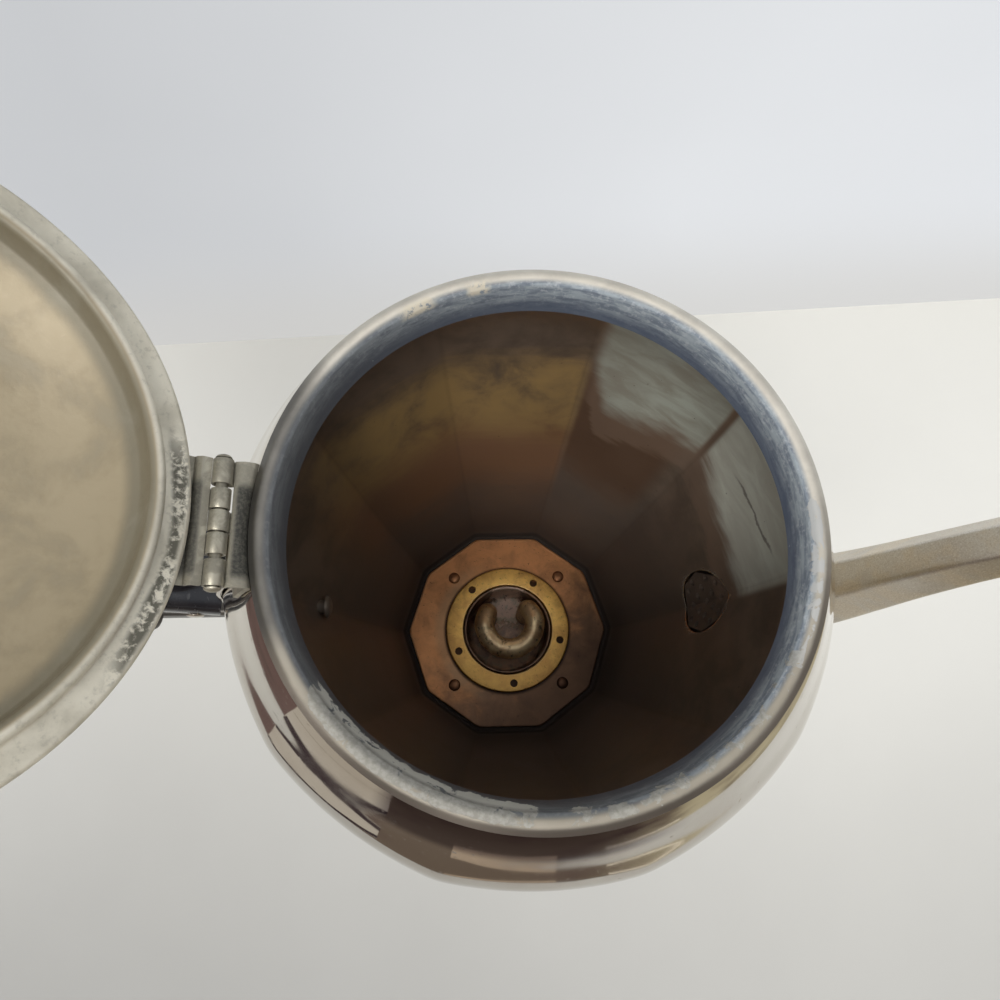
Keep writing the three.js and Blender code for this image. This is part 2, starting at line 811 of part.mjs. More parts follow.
function fuseEnd(side) {
  return fusePlace.clone().setX(fusePlace.x + side * (fuseLength / 2 + gap + wireRadius));
}

// Spout

const spoutPathShares = [
  [0, 0],
  [0.32, 0.045],
  [0.52, 0.13],
  [0.62, 0.225],
  [0.69, 0.385],
  [0.76, 0.58],
  [0.855, 0.79],
  [1, 1],
  [1.07, 1.1],
];
const spoutTallShares = [1, 0.93, 0.76, 0.62, 0.54, 0.47, 0.42, 0.4];
const spoutWideShares = [1, 0.9, 0.78, 0.66, 0.56, 0.49, 0.45, 0.43];

function spoutPath() {
  const points = spoutPathShares.map(
    ([out, up]) =>
      new THREE.Vector2(
        THREE.MathUtils.lerp(spoutRootReach, spoutReach, out),
        THREE.MathUtils.lerp(spoutRootHeight, rimHeight - spoutTipDepth, up),
      ),
  );
  return smooth(points, 16);
}

// Six-sided tube section with a flat towards the pot
function spoutSection() {
  return Array.from({ length: 6 }, (_, i) => {
    const turn = ((i + 1 / 2) * Math.PI) / 3;
    return [Math.cos(turn) / Math.cos(Math.PI / 6), Math.sin(turn)];
  });
}

function spoutRings(inset) {
  return ringsAlong(
    spoutPath(),
    spoutSection(),
    (share) => (spoutTall / 2) * along(spoutTallShares, share) - inset,
    (share) => (spoutWide / 2) * along(spoutWideShares, share) - inset,
  );
}

function spout() {
  const shell = solid(skin([...spoutRings(0), ...spoutRings(spoutSheet).reverse()], true));
  const level = rimHeight - spoutTipDepth;
  const trim = box(0, spoutReach + bellyRadius, -bellyRadius, bellyRadius, level, level + bellyRadius);
  return cut(shell, potSpace(gap), trim);
}

// Handle and its brackets

const handlePathShares = [
  [0, 0],
  [0.2, 0.06],
  [0.47, 0.13],
  [0.78, 0.07],
  [0.97, -0.16],
  [1, -0.42],
  [0.99, -0.64],
  [0.92, -0.82],
  [0.8, -0.95],
];
const handleWideShares = [1, 0.96, 0.97, 1, 1, 0.95, 0.82, 0.66, 0.52];
const handleThickShares = [0.9, 0.86, 0.9, 1, 1.02, 0.98, 0.88, 0.76, 0.66];
const handleRoot = bellyRadius + gap + saddleSheet + gap;

function handlePath() {
  const rootHeight = rimHeight - handleRootDepth;
  const points = handlePathShares.map(
    ([out, up]) => new THREE.Vector2(-handleRoot - handleReach * out, rootHeight + handleDrop * up),
  );
  return smooth(points, 20);
}

const handleTop = handlePath()[0];
const handleEnd = handlePath().at(-1);

// Rings of the grip swollen by a clearance, the end rings pushed out by a stretch
function handleRings(swell, stretch = 0) {
  return ringsAlong(
    handlePath(),
    roundSection(2.6, 14),
    (share) => (handleThick / 2) * along(handleThickShares, share) + swell,
    (share) => (handleWide / 2) * along(handleWideShares, share) + swell,
    stretch,
  );
}

// Round bar along Y through the grip
function crossBar(place, radius, reach) {
  return rodAlongY(radius, -reach, reach, place.x, place.y, holeSteps);
}

const topPinPlace = new THREE.Vector2(handleTop.x - tongueDepth / 2, handleTop.y);
const lowPinPlace = handlePath().at(-2).lerp(handleEnd, 1 / 2);

// Flat tongue of the upper bracket, swollen by a clearance, that the grip's mortise fits over
function tongue(clearance) {
  const [tall, thick] = [tongueTall / 2 + clearance, tongueThick / 2 + clearance];
  const tip = handleTop.x - tongueDepth - clearance;
  return box(tip, 0, -thick, thick, handleTop.y - tall, handleTop.y + tall);
}

function handleGrip() {
  const bores = [topPinPlace, lowPinPlace].map((place) => crossBar(place, crossPinRadius + gap, handleWide));
  return cut(solid(skin(handleRings(0))), potSpace(gap + gap + saddleSheet + gap), tongue(gap), ...bores);
}

function upperPin() {
  return crossBar(topPinPlace, crossPinRadius, (handleWide / 2) * handleWideShares[0] + crossPinHead);
}

function lowerPin() {
  const reach = (handleWide / 2) * handleWideShares.at(-1) + gap + socketSheet + crossPinHead;
  return crossBar(lowPinPlace, crossPinRadius, reach + crossPinHead);
}

// Saddle on the shoulder with a tongue inside the grip's upper end
function upperBracket() {
  const plate = saddle(saddleFootDepth, saddleTopDepth, saddleSheet, saddleWide);
  const bore = crossBar(topPinPlace, crossPinRadius + gap, handleWide);
  return cut(plate.add(solid(tongue(0))), potSpace(gap), bore);
}

// Lug riveted to the pot, its slim arm reaching out to a cup round the grip's lower end
function lowerBracket() {
  const depth = rimHeight - handleEnd.y;
  const plate = saddle(depth + lugTall / 2, depth - lugTall / 2, saddleSheet, lugWide);
  const cup = solid(skin(handleRings(gap + socketSheet, gap + socketSheet).slice(-2)));
  const arm = barAlongX(roundedRectangle(armWide, armTall, armWide / 3), handleEnd.x, 0, handleEnd.y);
  const grip = skin(handleRings(gap, gap));
  const rivet = rodAlongX(lugRivetRadius + gap, lugRivetEnd - gap, 0, handleEnd.y);
  const bore = crossBar(lowPinPlace, crossPinRadius + gap, handleWide);
  return cut(plate.add(cup).add(solid(arm)), potSpace(gap), grip, rivet, bore);
}

// Rivet through the pot's wall, its domed head inside the pot
const lugRivetSeat = potRadiusAt(rimHeight - handleEnd.y + lugRivetHead) - sheet - gap;
const lugRivetFace = lugRivetHead * Math.tan(Math.PI / panelCount) - lugRivetSeat;
const lugRivetEnd = lugRivetFace - lugRivetLength;

function lugRivet() {
  const rivet = domeHead(lugRivetHead, lugRivetRise, lugRivetRadius, lugRivetLength);
  return rivet.rotateY(Math.PI / 2).translate(lugRivetFace, 0, handleEnd.y);
}

// Hinge

const hingeHeight = rimHeight + hingeRise;
const hingeLength = endKnuckle + midKnuckle + midKnuckle + midKnuckle + endKnuckle
  + endSlack + midSlack + midSlack + endSlack;

// Stretch of Y of each of the five knuckles, from the far end to the near one
function knuckleSpans() {
  const lengths = [endKnuckle, midKnuckle, midKnuckle, midKnuckle, endKnuckle];
  const slacks = [endSlack, midSlack, midSlack, endSlack, 0];
  let top = hingeLength / 2;
  return lengths.map((length, i) => {
    const span = [top - length, top];
    top -= length + slacks[i];
    return span;
  });
}

const bodyKnuckles = [0, 2, 4];
const lidKnuckles = [1, 3];

// Adds its knuckles to a leaf, clears the other leaf's knuckles and bores the barrel
function barrel(leaf, own, others) {
  const spans = knuckleSpans();
  const clear = knuckleRadius + leafNotch;
  const x = -hingeRadius;
  const notches = others.map((i) => {
    const [near, far] = [spans[i][0] - midSlack, spans[i][1] + midSlack];
    return box(x - clear, x + clear, near, far, hingeHeight - clear, hingeHeight + clear);
  });
  const knuckles = own.map((i) => rodAlongY(knuckleRadius, ...spans[i], x, hingeHeight));
  const whole = knuckles.reduce((sum, knuckle) => sum.add(solid(knuckle)), cut(leaf, ...notches));
  return cut(whole, rodAlongY(hingeBoreRadius, -hingeLength, hingeLength, x, hingeHeight));
}

// Leaf on the pot: a web from the barrel to a riser and a foot that hugs the shoulder
function hingeBodyLeaf() {
  const half = hingeLength / 2;
  const webTop = hingeHeight - knuckleRadius + leafSheet;
  const riserFoot = rimHeight - shellTopDepth - leafSheet;
  const riser = disc(beadRadius + gap + leafSheet, riserFoot, webTop - riserFoot, beadRadius - beadWidth);
  const foot = saddle(leafFootDepth, shellTopDepth, leafSheet, hingeLength);
  const slice = box(-bellyRadius, 0, -half, half, riserFoot, webTop);
  const web = box(-hingeRadius, -beadRadius + leafFootDepth, -half, half, webTop - leafSheet, webTop);
  const collarSpace = disc(beadRadius + gap, riserFoot - overrun, webTop - riserFoot + overrun + overrun);
  const leaf = foot.add(solid(riser).intersect(solid(slice))).add(solid(web));
  return barrel(cut(leaf, collarSpace, potSpace(gap)), bodyKnuckles, lidKnuckles);
}

// Leaf on the lid, in the closed lid's place: a web and a tab that lies over the hem
function hingeLidLeaf() {
  const half = hingeLength / 2;
  const hemTop = rimHeight + gap + hemHeight;
  const tabTop = hemTop + gap + leafSheet;
  const web = box(-hingeRadius, -lidRadius + leafTabReach, -half, half, hingeHeight, hingeHeight + leafSheet);
  const tab = box(
    -lidRadius - gap - leafSheet,
    -lidRadius + leafTabReach,
    -half,
    half,
    hingeHeight,
    tabTop,
  );
  const lidSpace = disc(lidRadius + gap, rimHeight - overrun, hemTop + gap - rimHeight + overrun);
  return barrel(cut(joined(web, tab), lidSpace), lidKnuckles, bodyKnuckles);
}

function hingePin() {
  const half = hingeLength / 2 + gap;
  const shaft = rodAlongY(hingePinRadius, -half, half, 0, 0, holeSteps);
  const heads = [-half - hingePinHeadLength, half].map((y) =>
    rodAlongY(hingePinHead, y, y + hingePinHeadLength, 0, 0, holeSteps),
  );
  return joined(shaft, ...heads);
}

// Lid, in its closed place

const flangeUnder = rimHeight + gap;
const domeShares = [[0, 1], [0.3, 0.93], [0.6, 0.7], [0.84, 0.36], [1, 0]];
const bulbShares = [[1, 0.18], [1, 0.5], [0.78, 0.84], [0.38, 0.97]];

// Inside face of the lid from the knob's hole down the dome, round the plug's ridge and out to the hem
function lidLine() {
  const plugInner = plugRadius - plugWidth;
  const dome = domeShares.map(
    ([out, up]) =>
      new THREE.Vector2(
        THREE.MathUtils.lerp(knobHoleRadius, plugInner, out),
        flangeUnder + THREE.MathUtils.lerp(domeStep, domeRise, up),
      ),
  );
  const ridgeRadius = plugWidth / 2;
  const ridgeHeight = flangeUnder - plugDepth + ridgeRadius;
  const ridge = fillet(plugRadius - ridgeRadius, ridgeHeight, ridgeRadius, 180, 360, 3);
  const bend = fillet(plugRadius + lidSheet, flangeUnder - lidSheet, lidSheet, 180, 90, 1);
  const hemBend = lidSheet + gap;
  const hem = fillet(lidRadius - hemBend, flangeUnder + hemBend, hemBend, -90, 0, 2);
  const edge = new THREE.Vector2(lidRadius, flangeUnder + hemHeight);
  return [...smooth(dome, 5), ...ridge, ...bend, ...hem, edge];
}

function lidShell() {
  return revolve(sheetOutline(lidLine(), lidSheet));
}

const knobSeat = flangeUnder + domeRise + lidSheet;

// Nickel collar that the glass stands in, on the crown of the lid
function knobCollar() {
  const base = knobSeat + gap;
  const bore = glassNeckRadius + gap;
  const outline = [
    [bore, base],
    [collarRadius, base],
    [collarRadius, base + collarHeight / 3],
    [bore + springSheet + springSheet, base + collarHeight],
    [bore, base + collarHeight],
  ].map(([x, y]) => new THREE.Vector2(x, y));
  return revolve(outline, knobSteps);
}

// Hollow glass bulb, open below so that the coffee shows in it
function knobGlass() {
  const tail = flangeUnder + domeRise - glassTail;
  const shoulder = knobSeat + gap + collarHeight;
  const crown = shoulder + glassHeight;
  const bulb = bulbShares.map(
    ([out, up]) => new THREE.Vector2(glassBulbRadius * out, shoulder + glassHeight * up),
  );
  const line = [
    new THREE.Vector2(glassNeckRadius, tail),
    new THREE.Vector2(glassNeckRadius, shoulder),
    ...smooth(bulb, 6),
    new THREE.Vector2(0, crown),
  ];
  const inner = offsetLeft(line, glassWall);
  inner[inner.length - 1].set(0, crown - glassWall);
  return revolve([...line, ...inner.reverse()], knobSteps);
}

// Spring ring that grips the glass tail under the lid
function springRing() {
  const top = flangeUnder + domeRise - gap - gap;
  const bore = glassNeckRadius + gap;
  const outline = [
    [bore, top - glassTail / 2],
    [bore + springSheet, top - glassTail / 2],
    [bore + springSheet, top - springSheet],
    [springRadius, top - springSheet],
    [springRadius, top],
    [bore, top],
  ].map(([x, y]) => new THREE.Vector2(x, y));
  return revolve(outline, knobSteps);
}

// Assembly

const root = new THREE.Group();
const pot = new THREE.Group();
root.add(pot);

pot.add(piece("pot_shell", potShell(), finish.nickel()));
pot.add(piece("rim_collar", rimCollar(), finish.tarnish()));
pot.add(piece("spout", spout(), finish.nickel()));
pot.add(piece("spout_strainer", spoutStrainer(), finish.copper()));
pot.add(piece("floor_plate", floorPlate(), finish.copper()));
rivetPlaces().forEach(([x, y], i) => {
  const rivet = piece(`floor_rivet_${i + 1}`, floorRivet(), finish.copper());
  rivet.position.set(x, y, floorHeight);
  pot.add(rivet);
});

const heater = new THREE.Group();
pot.add(heater);
heater.add(piece("ring_nut", ringNut(), finish.brass()));
heater.add(piece("well_gasket", wellGasket(), finish.rubber()));
heater.add(piece("heater_well", heaterWell(), finish.copper()));
heater.add(piece("heater_loop", heaterLoop(), finish.heater()));
legAngles.forEach((angle, i) => {
  const leg = new THREE.Group();
  leg.position.set(...legPlace(angle), 0);
  leg.add(piece(`heater_gland_${i + 1}`, heaterGland(), finish.brass()));
  leg.add(piece(`heater_stud_${i + 1}`, heaterStud(), finish.steel()));
  leg.add(piece(`terminal_tag_${i + 1}`, terminalTag(), finish.brass()));
  heater.add(leg);
});

const base = new THREE.Group();
root.add(base);
base.add(piece("base_skirt", baseSkirt(), finish.nickel()));
base.add(piece("bottom_plate", bottomPlate(), finish.steel()));
postPlaces.forEach(([x, y], i) => {
  const post = piece(`plate_post_${i + 1}`, platePost(), finish.steel());
  post.position.set(x, y, 0);
  const bolt = piece(`plate_screw_${i + 1}`, plateScrew(), finish.steel());
  bolt.position.set(x, y, plateRecess + gap);
  base.add(post, bolt);
});

const inlet = new THREE.Group();
base.add(inlet);
inlet.add(piece("inlet_shroud", inletShroud(), finish.nickel()));
inlet.add(piece("inlet_block", inletBlock(), finish.ceramic()));
[-1, 1].forEach((side, i) => {
  const pin = piece(`plug_pin_${i + 1}`, plugPin(), finish.brass());
  pin.position.y = (side * pinPitch) / 2;
  inlet.add(pin);
});
inlet.add(piece("lead_near", wire(tailPlace(-1), fuseEnd(-1)), finish.rubber()));
inlet.add(piece("lead_fuse", wire(fuseEnd(1), studPlace(1)), finish.rubber()));
inlet.add(piece("lead_far", wire(tailPlace(1), studPlace(0)), finish.rubber()));
inlet.add(piece("thermal_fuse", thermalFuse(), finish.ceramic()));

const handle = new THREE.Group();
root.add(handle);
handle.add(piece("handle_grip", handleGrip(), finish.ebony()));
handle.add(piece("handle_upper_bracket", upperBracket(), finish.nickel()));
handle.add(piece("handle_lower_bracket", lowerBracket(), finish.nickel()));
handle.add(piece("handle_upper_pin", upperPin(), finish.nickel()));
handle.add(piece("handle_lower_pin", lowerPin(), finish.nickel()));
handle.add(piece("lug_rivet", lugRivet(), finish.nickel()));

const hinge = new THREE.Group();
root.add(hinge);
hinge.add(piece("hinge_body_leaf", hingeBodyLeaf(), finish.nickel()));
const pin = piece("hinge_pin", hingePin(), finish.steel());
pin.position.set(-hingeRadius, 0, hingeHeight);
hinge.add(pin);

// The lid turns about the hinge; its pieces are placed as if it were closed
const swing = new THREE.Group();
swing.position.set(-hingeRadius, 0, hingeHeight);
swing.rotation.y = -radians(lidOpenAngle);
hinge.add(swing);
const lid = new THREE.Group();
lid.position.set(hingeRadius, 0, -hingeHeight);
swing.add(lid);
lid.add(piece("lid_shell", lidShell(), finish.nickel()));
lid.add(piece("hinge_lid_leaf", hingeLidLeaf(), finish.nickel()));
lid.add(piece("knob_collar", knobCollar(), finish.nickel()));
lid.add(piece("knob_glass", knobGlass(), finish.glass()));
lid.add(piece("knob_spring_ring", springRing(), finish.steel()));

export default root;
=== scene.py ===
import math

import bmesh
import bpy
import numpy as np
from mathutils import Matrix, Vector


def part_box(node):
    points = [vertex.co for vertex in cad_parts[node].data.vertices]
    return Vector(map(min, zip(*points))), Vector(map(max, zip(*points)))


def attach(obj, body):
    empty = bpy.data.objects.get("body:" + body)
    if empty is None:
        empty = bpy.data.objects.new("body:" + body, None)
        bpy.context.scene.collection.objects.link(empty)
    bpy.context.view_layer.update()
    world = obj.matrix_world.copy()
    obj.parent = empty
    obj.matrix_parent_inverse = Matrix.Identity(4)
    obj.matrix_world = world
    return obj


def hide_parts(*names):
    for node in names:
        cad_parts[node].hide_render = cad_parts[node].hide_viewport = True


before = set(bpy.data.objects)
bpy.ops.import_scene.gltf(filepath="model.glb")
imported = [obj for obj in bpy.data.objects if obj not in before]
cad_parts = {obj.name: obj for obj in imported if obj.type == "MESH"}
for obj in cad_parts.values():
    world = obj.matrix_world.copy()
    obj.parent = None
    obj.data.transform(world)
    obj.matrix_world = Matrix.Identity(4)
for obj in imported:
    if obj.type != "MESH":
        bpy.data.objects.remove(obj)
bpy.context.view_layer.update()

mm = 0.001

# Camera
# A phone held over the pot, a little to the near side, looking almost straight down.

frame_pixels = 1000
lens_pixels = 750
camera_place = np.array([-13.7, -38.8, 337.5]) * mm
camera_look = np.array([0.037, 0.293, -0.955])
camera_right = np.array([0.999, -0.021, 0.033])

back = -camera_look / np.linalg.norm(camera_look)
right = camera_right - back * (camera_right @ back)
right = right / np.linalg.norm(right)
up = np.cross(back, right)
camera = bpy.data.objects.new("camera", bpy.data.cameras.new("camera"))
camera.data.sensor_width = 36
camera.data.lens = camera.data.sensor_width * lens_pixels / frame_pixels
camera.data.clip_start = 0.01
turn = Matrix(np.column_stack([right, up, back]).tolist())
camera.matrix_world = Matrix.Translation(camera_place.tolist()) @ turn.to_4x4()
bpy.context.scene.collection.objects.link(camera)
bpy.context.scene.camera = camera
bpy.context.scene.view_settings.view_transform = "Standard"


# Table and wall
# A plain white table, with a plain wall whose foot crosses the picture behind the pot.

wall_foot_left_pixel = (160, 345)
wall_foot_right_pixel = (875, 305)
stage_half = 2.2
wall_height = 2.4


def table_point(pixel):
    """The point of the table that a pixel of the picture shows."""
    across = (pixel[0] - frame_pixels / 2) / lens_pixels
    above = (frame_pixels / 2 - pixel[1]) / lens_pixels
    ray = right * across + up * above - back
    return camera_place - ray * camera_place[2] / ray[2]


class Value:
    """An output of a node. Arithmetic on it, with numbers or other outputs, adds Math nodes."""

    def __init__(self, socket):
        self.socket = socket

    def __add__(self, other):
        return maths("ADD", self, other)

    def __radd__(self, other):
        return maths("ADD", other, self)

    def __sub__(self, other):
        return maths("SUBTRACT", self, other)

    def __rsub__(self, other):
        return maths("SUBTRACT", other, self)

    def __mul__(self, other):
        return maths("MULTIPLY", self, other)

    def __abs__(self):
        return maths("ABSOLUTE", self)


def add(kind, values=None, tree=None, **settings):
    """Adds a node; values maps its inputs, by name or number, to numbers, colours or other nodes' outputs.
    It goes into the tree of those outputs, or into the one that is given."""
    values = values or {}
    trees = [value.socket.id_data for value in values.values() if isinstance(value, Value)]
    tree = tree or trees[0]
    made = tree.nodes.new(kind)
    for name, value in settings.items():
        setattr(made, name, value)
    for name, value in values.items():
        if isinstance(value, Value):
            tree.links.new(value.socket, made.inputs[name])
        else:
            made.inputs[name].default_value = value
    return made


def output(kind, values=None, which=0, **settings):
    """One output of an added node."""
    return Value(add(kind, values, **settings).outputs[which])


def maths(operation, first, second=0.0):
    """Output of a Math node."""
    return output("ShaderNodeMath", {0: first, 1: second}, operation=operation)


def ramp(value, low, high):
    """Smooth step of a value, from 0 at low to 1 at high."""
    values = {"Value": value, "From Min": low, "From Max": high}
    return output("ShaderNodeMapRange", values, interpolation_type="SMOOTHSTEP")


def opaque(colour):
    """A plain colour with its alpha; an output stays as it is."""
    return (*colour, 1) if isinstance(colour, tuple) else colour


def blend(factor, first, second):
    """Colour that goes from first to second."""
    values = {0: factor, 6: opaque(first), 7: opaque(second)}
    return output("ShaderNodeMix", values, 2, data_type="RGBA")


def between(factor, first, second):
    """Number that goes from first to second."""
    return output("ShaderNodeMix", {0: factor, 2: first, 3: second}, data_type="FLOAT")


def noise(place, scale, detail=4.0, roughness=0.55, distortion=0.0):
    """Value of a noise texture; scale is in features per metre."""
    shape = {"Scale": scale, "Detail": detail, "Roughness": roughness, "Distortion": distortion}
    return output("ShaderNodeTexNoise", {"Vector": place, **shape})


def split(place):
    """The three numbers of a place."""
    return [Value(socket) for socket in add("ShaderNodeSeparateXYZ", {0: place}).outputs]


def new_material(name, **plain):
    """A material, its Principled shader and the place on the object; plain values go on the shader's own
    sockets."""
    made = bpy.data.materials.new(name)
    made.use_nodes = True
    shader = made.node_tree.nodes["Principled BSDF"]
    for key, value in plain.items():
        shader.inputs[key.replace("_", " ")].default_value = value
    return made, shader, output("ShaderNodeTexCoord", which="Object", tree=made.node_tree)


def feed(node, **sources):
    """Links outputs to a node's sockets."""
    for key, source in sources.items():
        node.id_data.links.new(source.socket, node.inputs[key.replace("_", " ")])


def bump(height, strength, distance):
    """Normal of a Bump node over a height in metres times its distance."""
    return output("ShaderNodeBump", {"Height": height, "Strength": strength, "Distance": distance})


def stage_plane(name, corners, material):
    """Flat face outside the object."""
    mesh = bpy.data.meshes.new(name)
    mesh.from_pydata([tuple(corner) for corner in corners], [], [tuple(range(len(corners)))])
    mesh.materials.append(material)
    made = bpy.data.objects.new(name, mesh)
    bpy.context.scene.collection.objects.link(made)
    return made


def shown(shading):
    """Links a shader's output to the surface of its material."""
    feed(shading.socket.id_data.nodes["Material Output"], Surface=shading)


def glowing(shader, colour, share, one_sided=False):
    """Mixes the shader with an even glow of a colour. Rays from the camera, mirrors and glass see that
    share of it, and light that falls on things sees none. A one-sided face is clear from behind."""
    tree = shader.id_data
    path = add("ShaderNodeLightPath", tree=tree).outputs
    by = {kind: Value(path[f"Is {kind} Ray"]) for kind in ("Camera", "Glossy", "Transmission")}
    seen = maths("MAXIMUM", maths("MAXIMUM", by["Camera"], by["Glossy"]), by["Transmission"]) * share
    glow = output("ShaderNodeEmission", {"Color": colour})
    mixed = output("ShaderNodeMixShader", {0: seen, 1: Value(shader.outputs[0]), 2: glow})
    if one_sided:
        behind = output("ShaderNodeNewGeometry", which="Backfacing", tree=tree)
        clear = output("ShaderNodeBsdfTransparent", tree=tree)
        mixed = output("ShaderNodeMixShader", {0: behind, 1: mixed, 2: clear})
    shown(mixed)


table_white, shader, place = new_material("table_white", Roughness=0.5, Specular_IOR_Level=0.2)
x, y, _ = split(place)
# Painted shade: the table is painted darker toward the near left and paler toward the wall and the right
pale = between(0.3, ramp(y, -190 * mm, 80 * mm), ramp(x, -160 * mm, 160 * mm))
pale += (noise(place, 9.0, 3.0) - 0.5) * 0.15
table_shade = blend(pale, (0.41, 0.405, 0.385), (0.88, 0.87, 0.815))
feed(shader, Base_Color=table_shade)
glowing(shader, table_shade, 0.45)

wall_white, shader, place = new_material("wall_white", Roughness=0.8, Specular_IOR_Level=0.2)
x, _, z = split(place)
cloud = (noise(place, 5.0, 3.0) - 0.5) * 0.5
# Painted shade: the wall is painted darker to its left; toward its foot it turns a warmer grey
wall_painted_light = ramp(x, -180 * mm, 140 * mm) + cloud
wall_shade = blend(wall_painted_light, (0.60, 0.615, 0.635), (0.79, 0.81, 0.835))
low = ramp(z, 90 * mm, 0.0) * 0.6
wall_shade = blend(low, wall_shade, (0.66, 0.645, 0.61))
feed(shader, Base_Color=wall_shade)
glowing(shader, wall_shade, 0.9, one_sided=True)

foot_left, foot_right = table_point(wall_foot_left_pixel), table_point(wall_foot_right_pixel)
along_wall = (foot_right - foot_left) / np.linalg.norm(foot_right - foot_left)
wall_left, wall_right = foot_left - along_wall * stage_half, foot_left + along_wall * stage_half
toward, rise = np.array([0, -2 * stage_half, 0]), np.array([0, 0, wall_height])
stage_plane(
    "table", [wall_left + toward, wall_right + toward, wall_right - toward, wall_left - toward], table_white
)
stage_plane("wall", [wall_left, wall_right, wall_right + rise, wall_left + rise], wall_white)


# Reflector cards
# Cards that only mirrors and glass see, laid on the table where the pale top would end in a small room, so
# that the plated belly gets the dark, mauve, olive and cream bands that polished metal shows indoors.

card_inner, card_outer, strip_outer = 0.226, 1.3, 234 * mm
card_lift = 1 * mm
taupe, mauve, olive = (0.155, 0.12, 0.095), (0.17, 0.115, 0.108), (0.50, 0.45, 0.32)
card_mottle = (0.12, 0.085, 0.075)
# Name, layer, colour and corners in millimetres
flat_cards = [
    ("cream_card", 2, (0.50, 0.46, 0.405), [(-200, -95), (-125, -198), (-412, -635), (-655, -365)]),
    ("dark_edge_inner", 3, (0.05, 0.035, 0.04), [(-200, -95), (-125, -198), (-130, -206), (-207, -101)]),
    ("dark_edge_outer", 3, (0.16, 0.14, 0.11), [(-262, -135), (-185, -290), (-186.5, -292.5), (-264, -136)]),
    ("bright_edge", 3, (1.5, 1.4, 1.2), [(70, -219.5), (134, -192), (135.5, -194), (71, -222)]),
]


def card(name, corners, layer, colour):
    """Flat glowing card, so many lifts above the table, seen by mirrors and glass alone. Its colour is plain
    or a function of the place."""
    material, _, place = new_material(name)
    made = stage_plane(name, [(*corner, layer * card_lift) for corner in corners], material)
    made.visible_camera = made.visible_diffuse = made.visible_shadow = made.visible_volume_scatter = False
    if callable(colour):
        colour = colour(place)
    shown(output("ShaderNodeEmission", {"Color": opaque(colour)}, tree=material.node_tree))


def ring_part(first, last, outer, count):
    """Corners of the part of a ring between two turns in degrees."""
    turns = np.radians(np.linspace(first, last, count))
    line = np.column_stack([np.cos(turns), np.sin(turns)])
    return np.vstack([line * card_inner, line[::-1] * outer])


def room_floor(place):
    """Taupe at the middle, mauve to the left and olive to the right, all mottled."""
    x, y, _ = split(place)
    from_viewer = maths("ARCTAN2", x, y * -1.0)
    colour = blend(ramp(from_viewer, math.radians(-30), math.radians(-70)), taupe, mauve)
    colour = blend(ramp(from_viewer, math.radians(12), math.radians(40)), colour, olive)
    return blend(ramp(noise(place, 9.0, 3.0), 0.45, 0.7), colour, card_mottle)


card("room_floor", ring_part(165, 360, card_outer, 40), 1, room_floor)
for name, layer, colour, corners in flat_cards:
    card(name, np.array(corners) * mm, layer, colour)
card("cream_strip", ring_part(-106, -83, strip_outer, 12), 3, (0.43, 0.34, 0.26))


# Light
# Soft daylight all round, paler above, with windows on three sides and overhead, and a dim room behind
# the viewer.

sky_low, sky_high, dim_room = (0.42, 0.38, 0.36), (0.90, 0.93, 1.0), (0.17, 0.115, 0.10)
backdrop = (0.70, 0.71, 0.72)
sky_strength = 0.66

world = bpy.data.worlds.new("daylight")
world.use_nodes = True
bpy.context.scene.world = world
_, y, z = split(output("ShaderNodeTexCoord", which="Generated", tree=world.node_tree))
sky = blend(ramp(z, -0.05, 0.75), sky_low, sky_high)
sky = blend(ramp(y, -0.1, -0.85) * ramp(z, 0.75, 0.2) * 0.85, sky, dim_room)
# The camera itself sees an even pale background beyond the table
by_camera = output("ShaderNodeLightPath", which="Is Camera Ray", tree=world.node_tree)
sky = blend(by_camera, sky, tuple(value / sky_strength for value in backdrop))
background = world.node_tree.nodes["Background"]
feed(background, Color=sky)
background.inputs["Strength"].default_value = sky_strength


def window(name, at, toward_point, wide, tall, radiance, colour):
    """Area lamp of a size and radiance, facing a point."""
    lamp = bpy.data.lights.new(name, "AREA")
    lamp.shape = "RECTANGLE"
    lamp.size, lamp.size_y = wide, tall
    lamp.energy = radiance * math.pi * wide * tall
    lamp.color = colour
    made = bpy.data.objects.new(name, lamp)
    facing = Vector(toward_point) - Vector(at)
    made.matrix_world = Matrix.Translation(at) @ facing.to_track_quat("-Z", "Y").to_matrix().to_4x4()
    bpy.context.scene.collection.objects.link(made)


window("window_left", (-0.95, -0.55, 0.75), (0, 0, 0.1), 0.5, 0.7, 2.2, (1.0, 0.98, 0.95))
window("window_near", (-0.28, -1.0, 0.6), (0, 0, 0.1), 0.3, 0.4, 1.5, (1.0, 0.97, 0.94))
window("window_right", (0.9, -0.6, 0.55), (0, 0, 0.1), 0.45, 0.25, 1.8, (0.98, 0.99, 1.0))
window("overhead", (-0.25, -0.75, 1.5), (0, 0.03, 0.12), 0.7, 0.6, 10.0, (1.0, 0.985, 0.96))
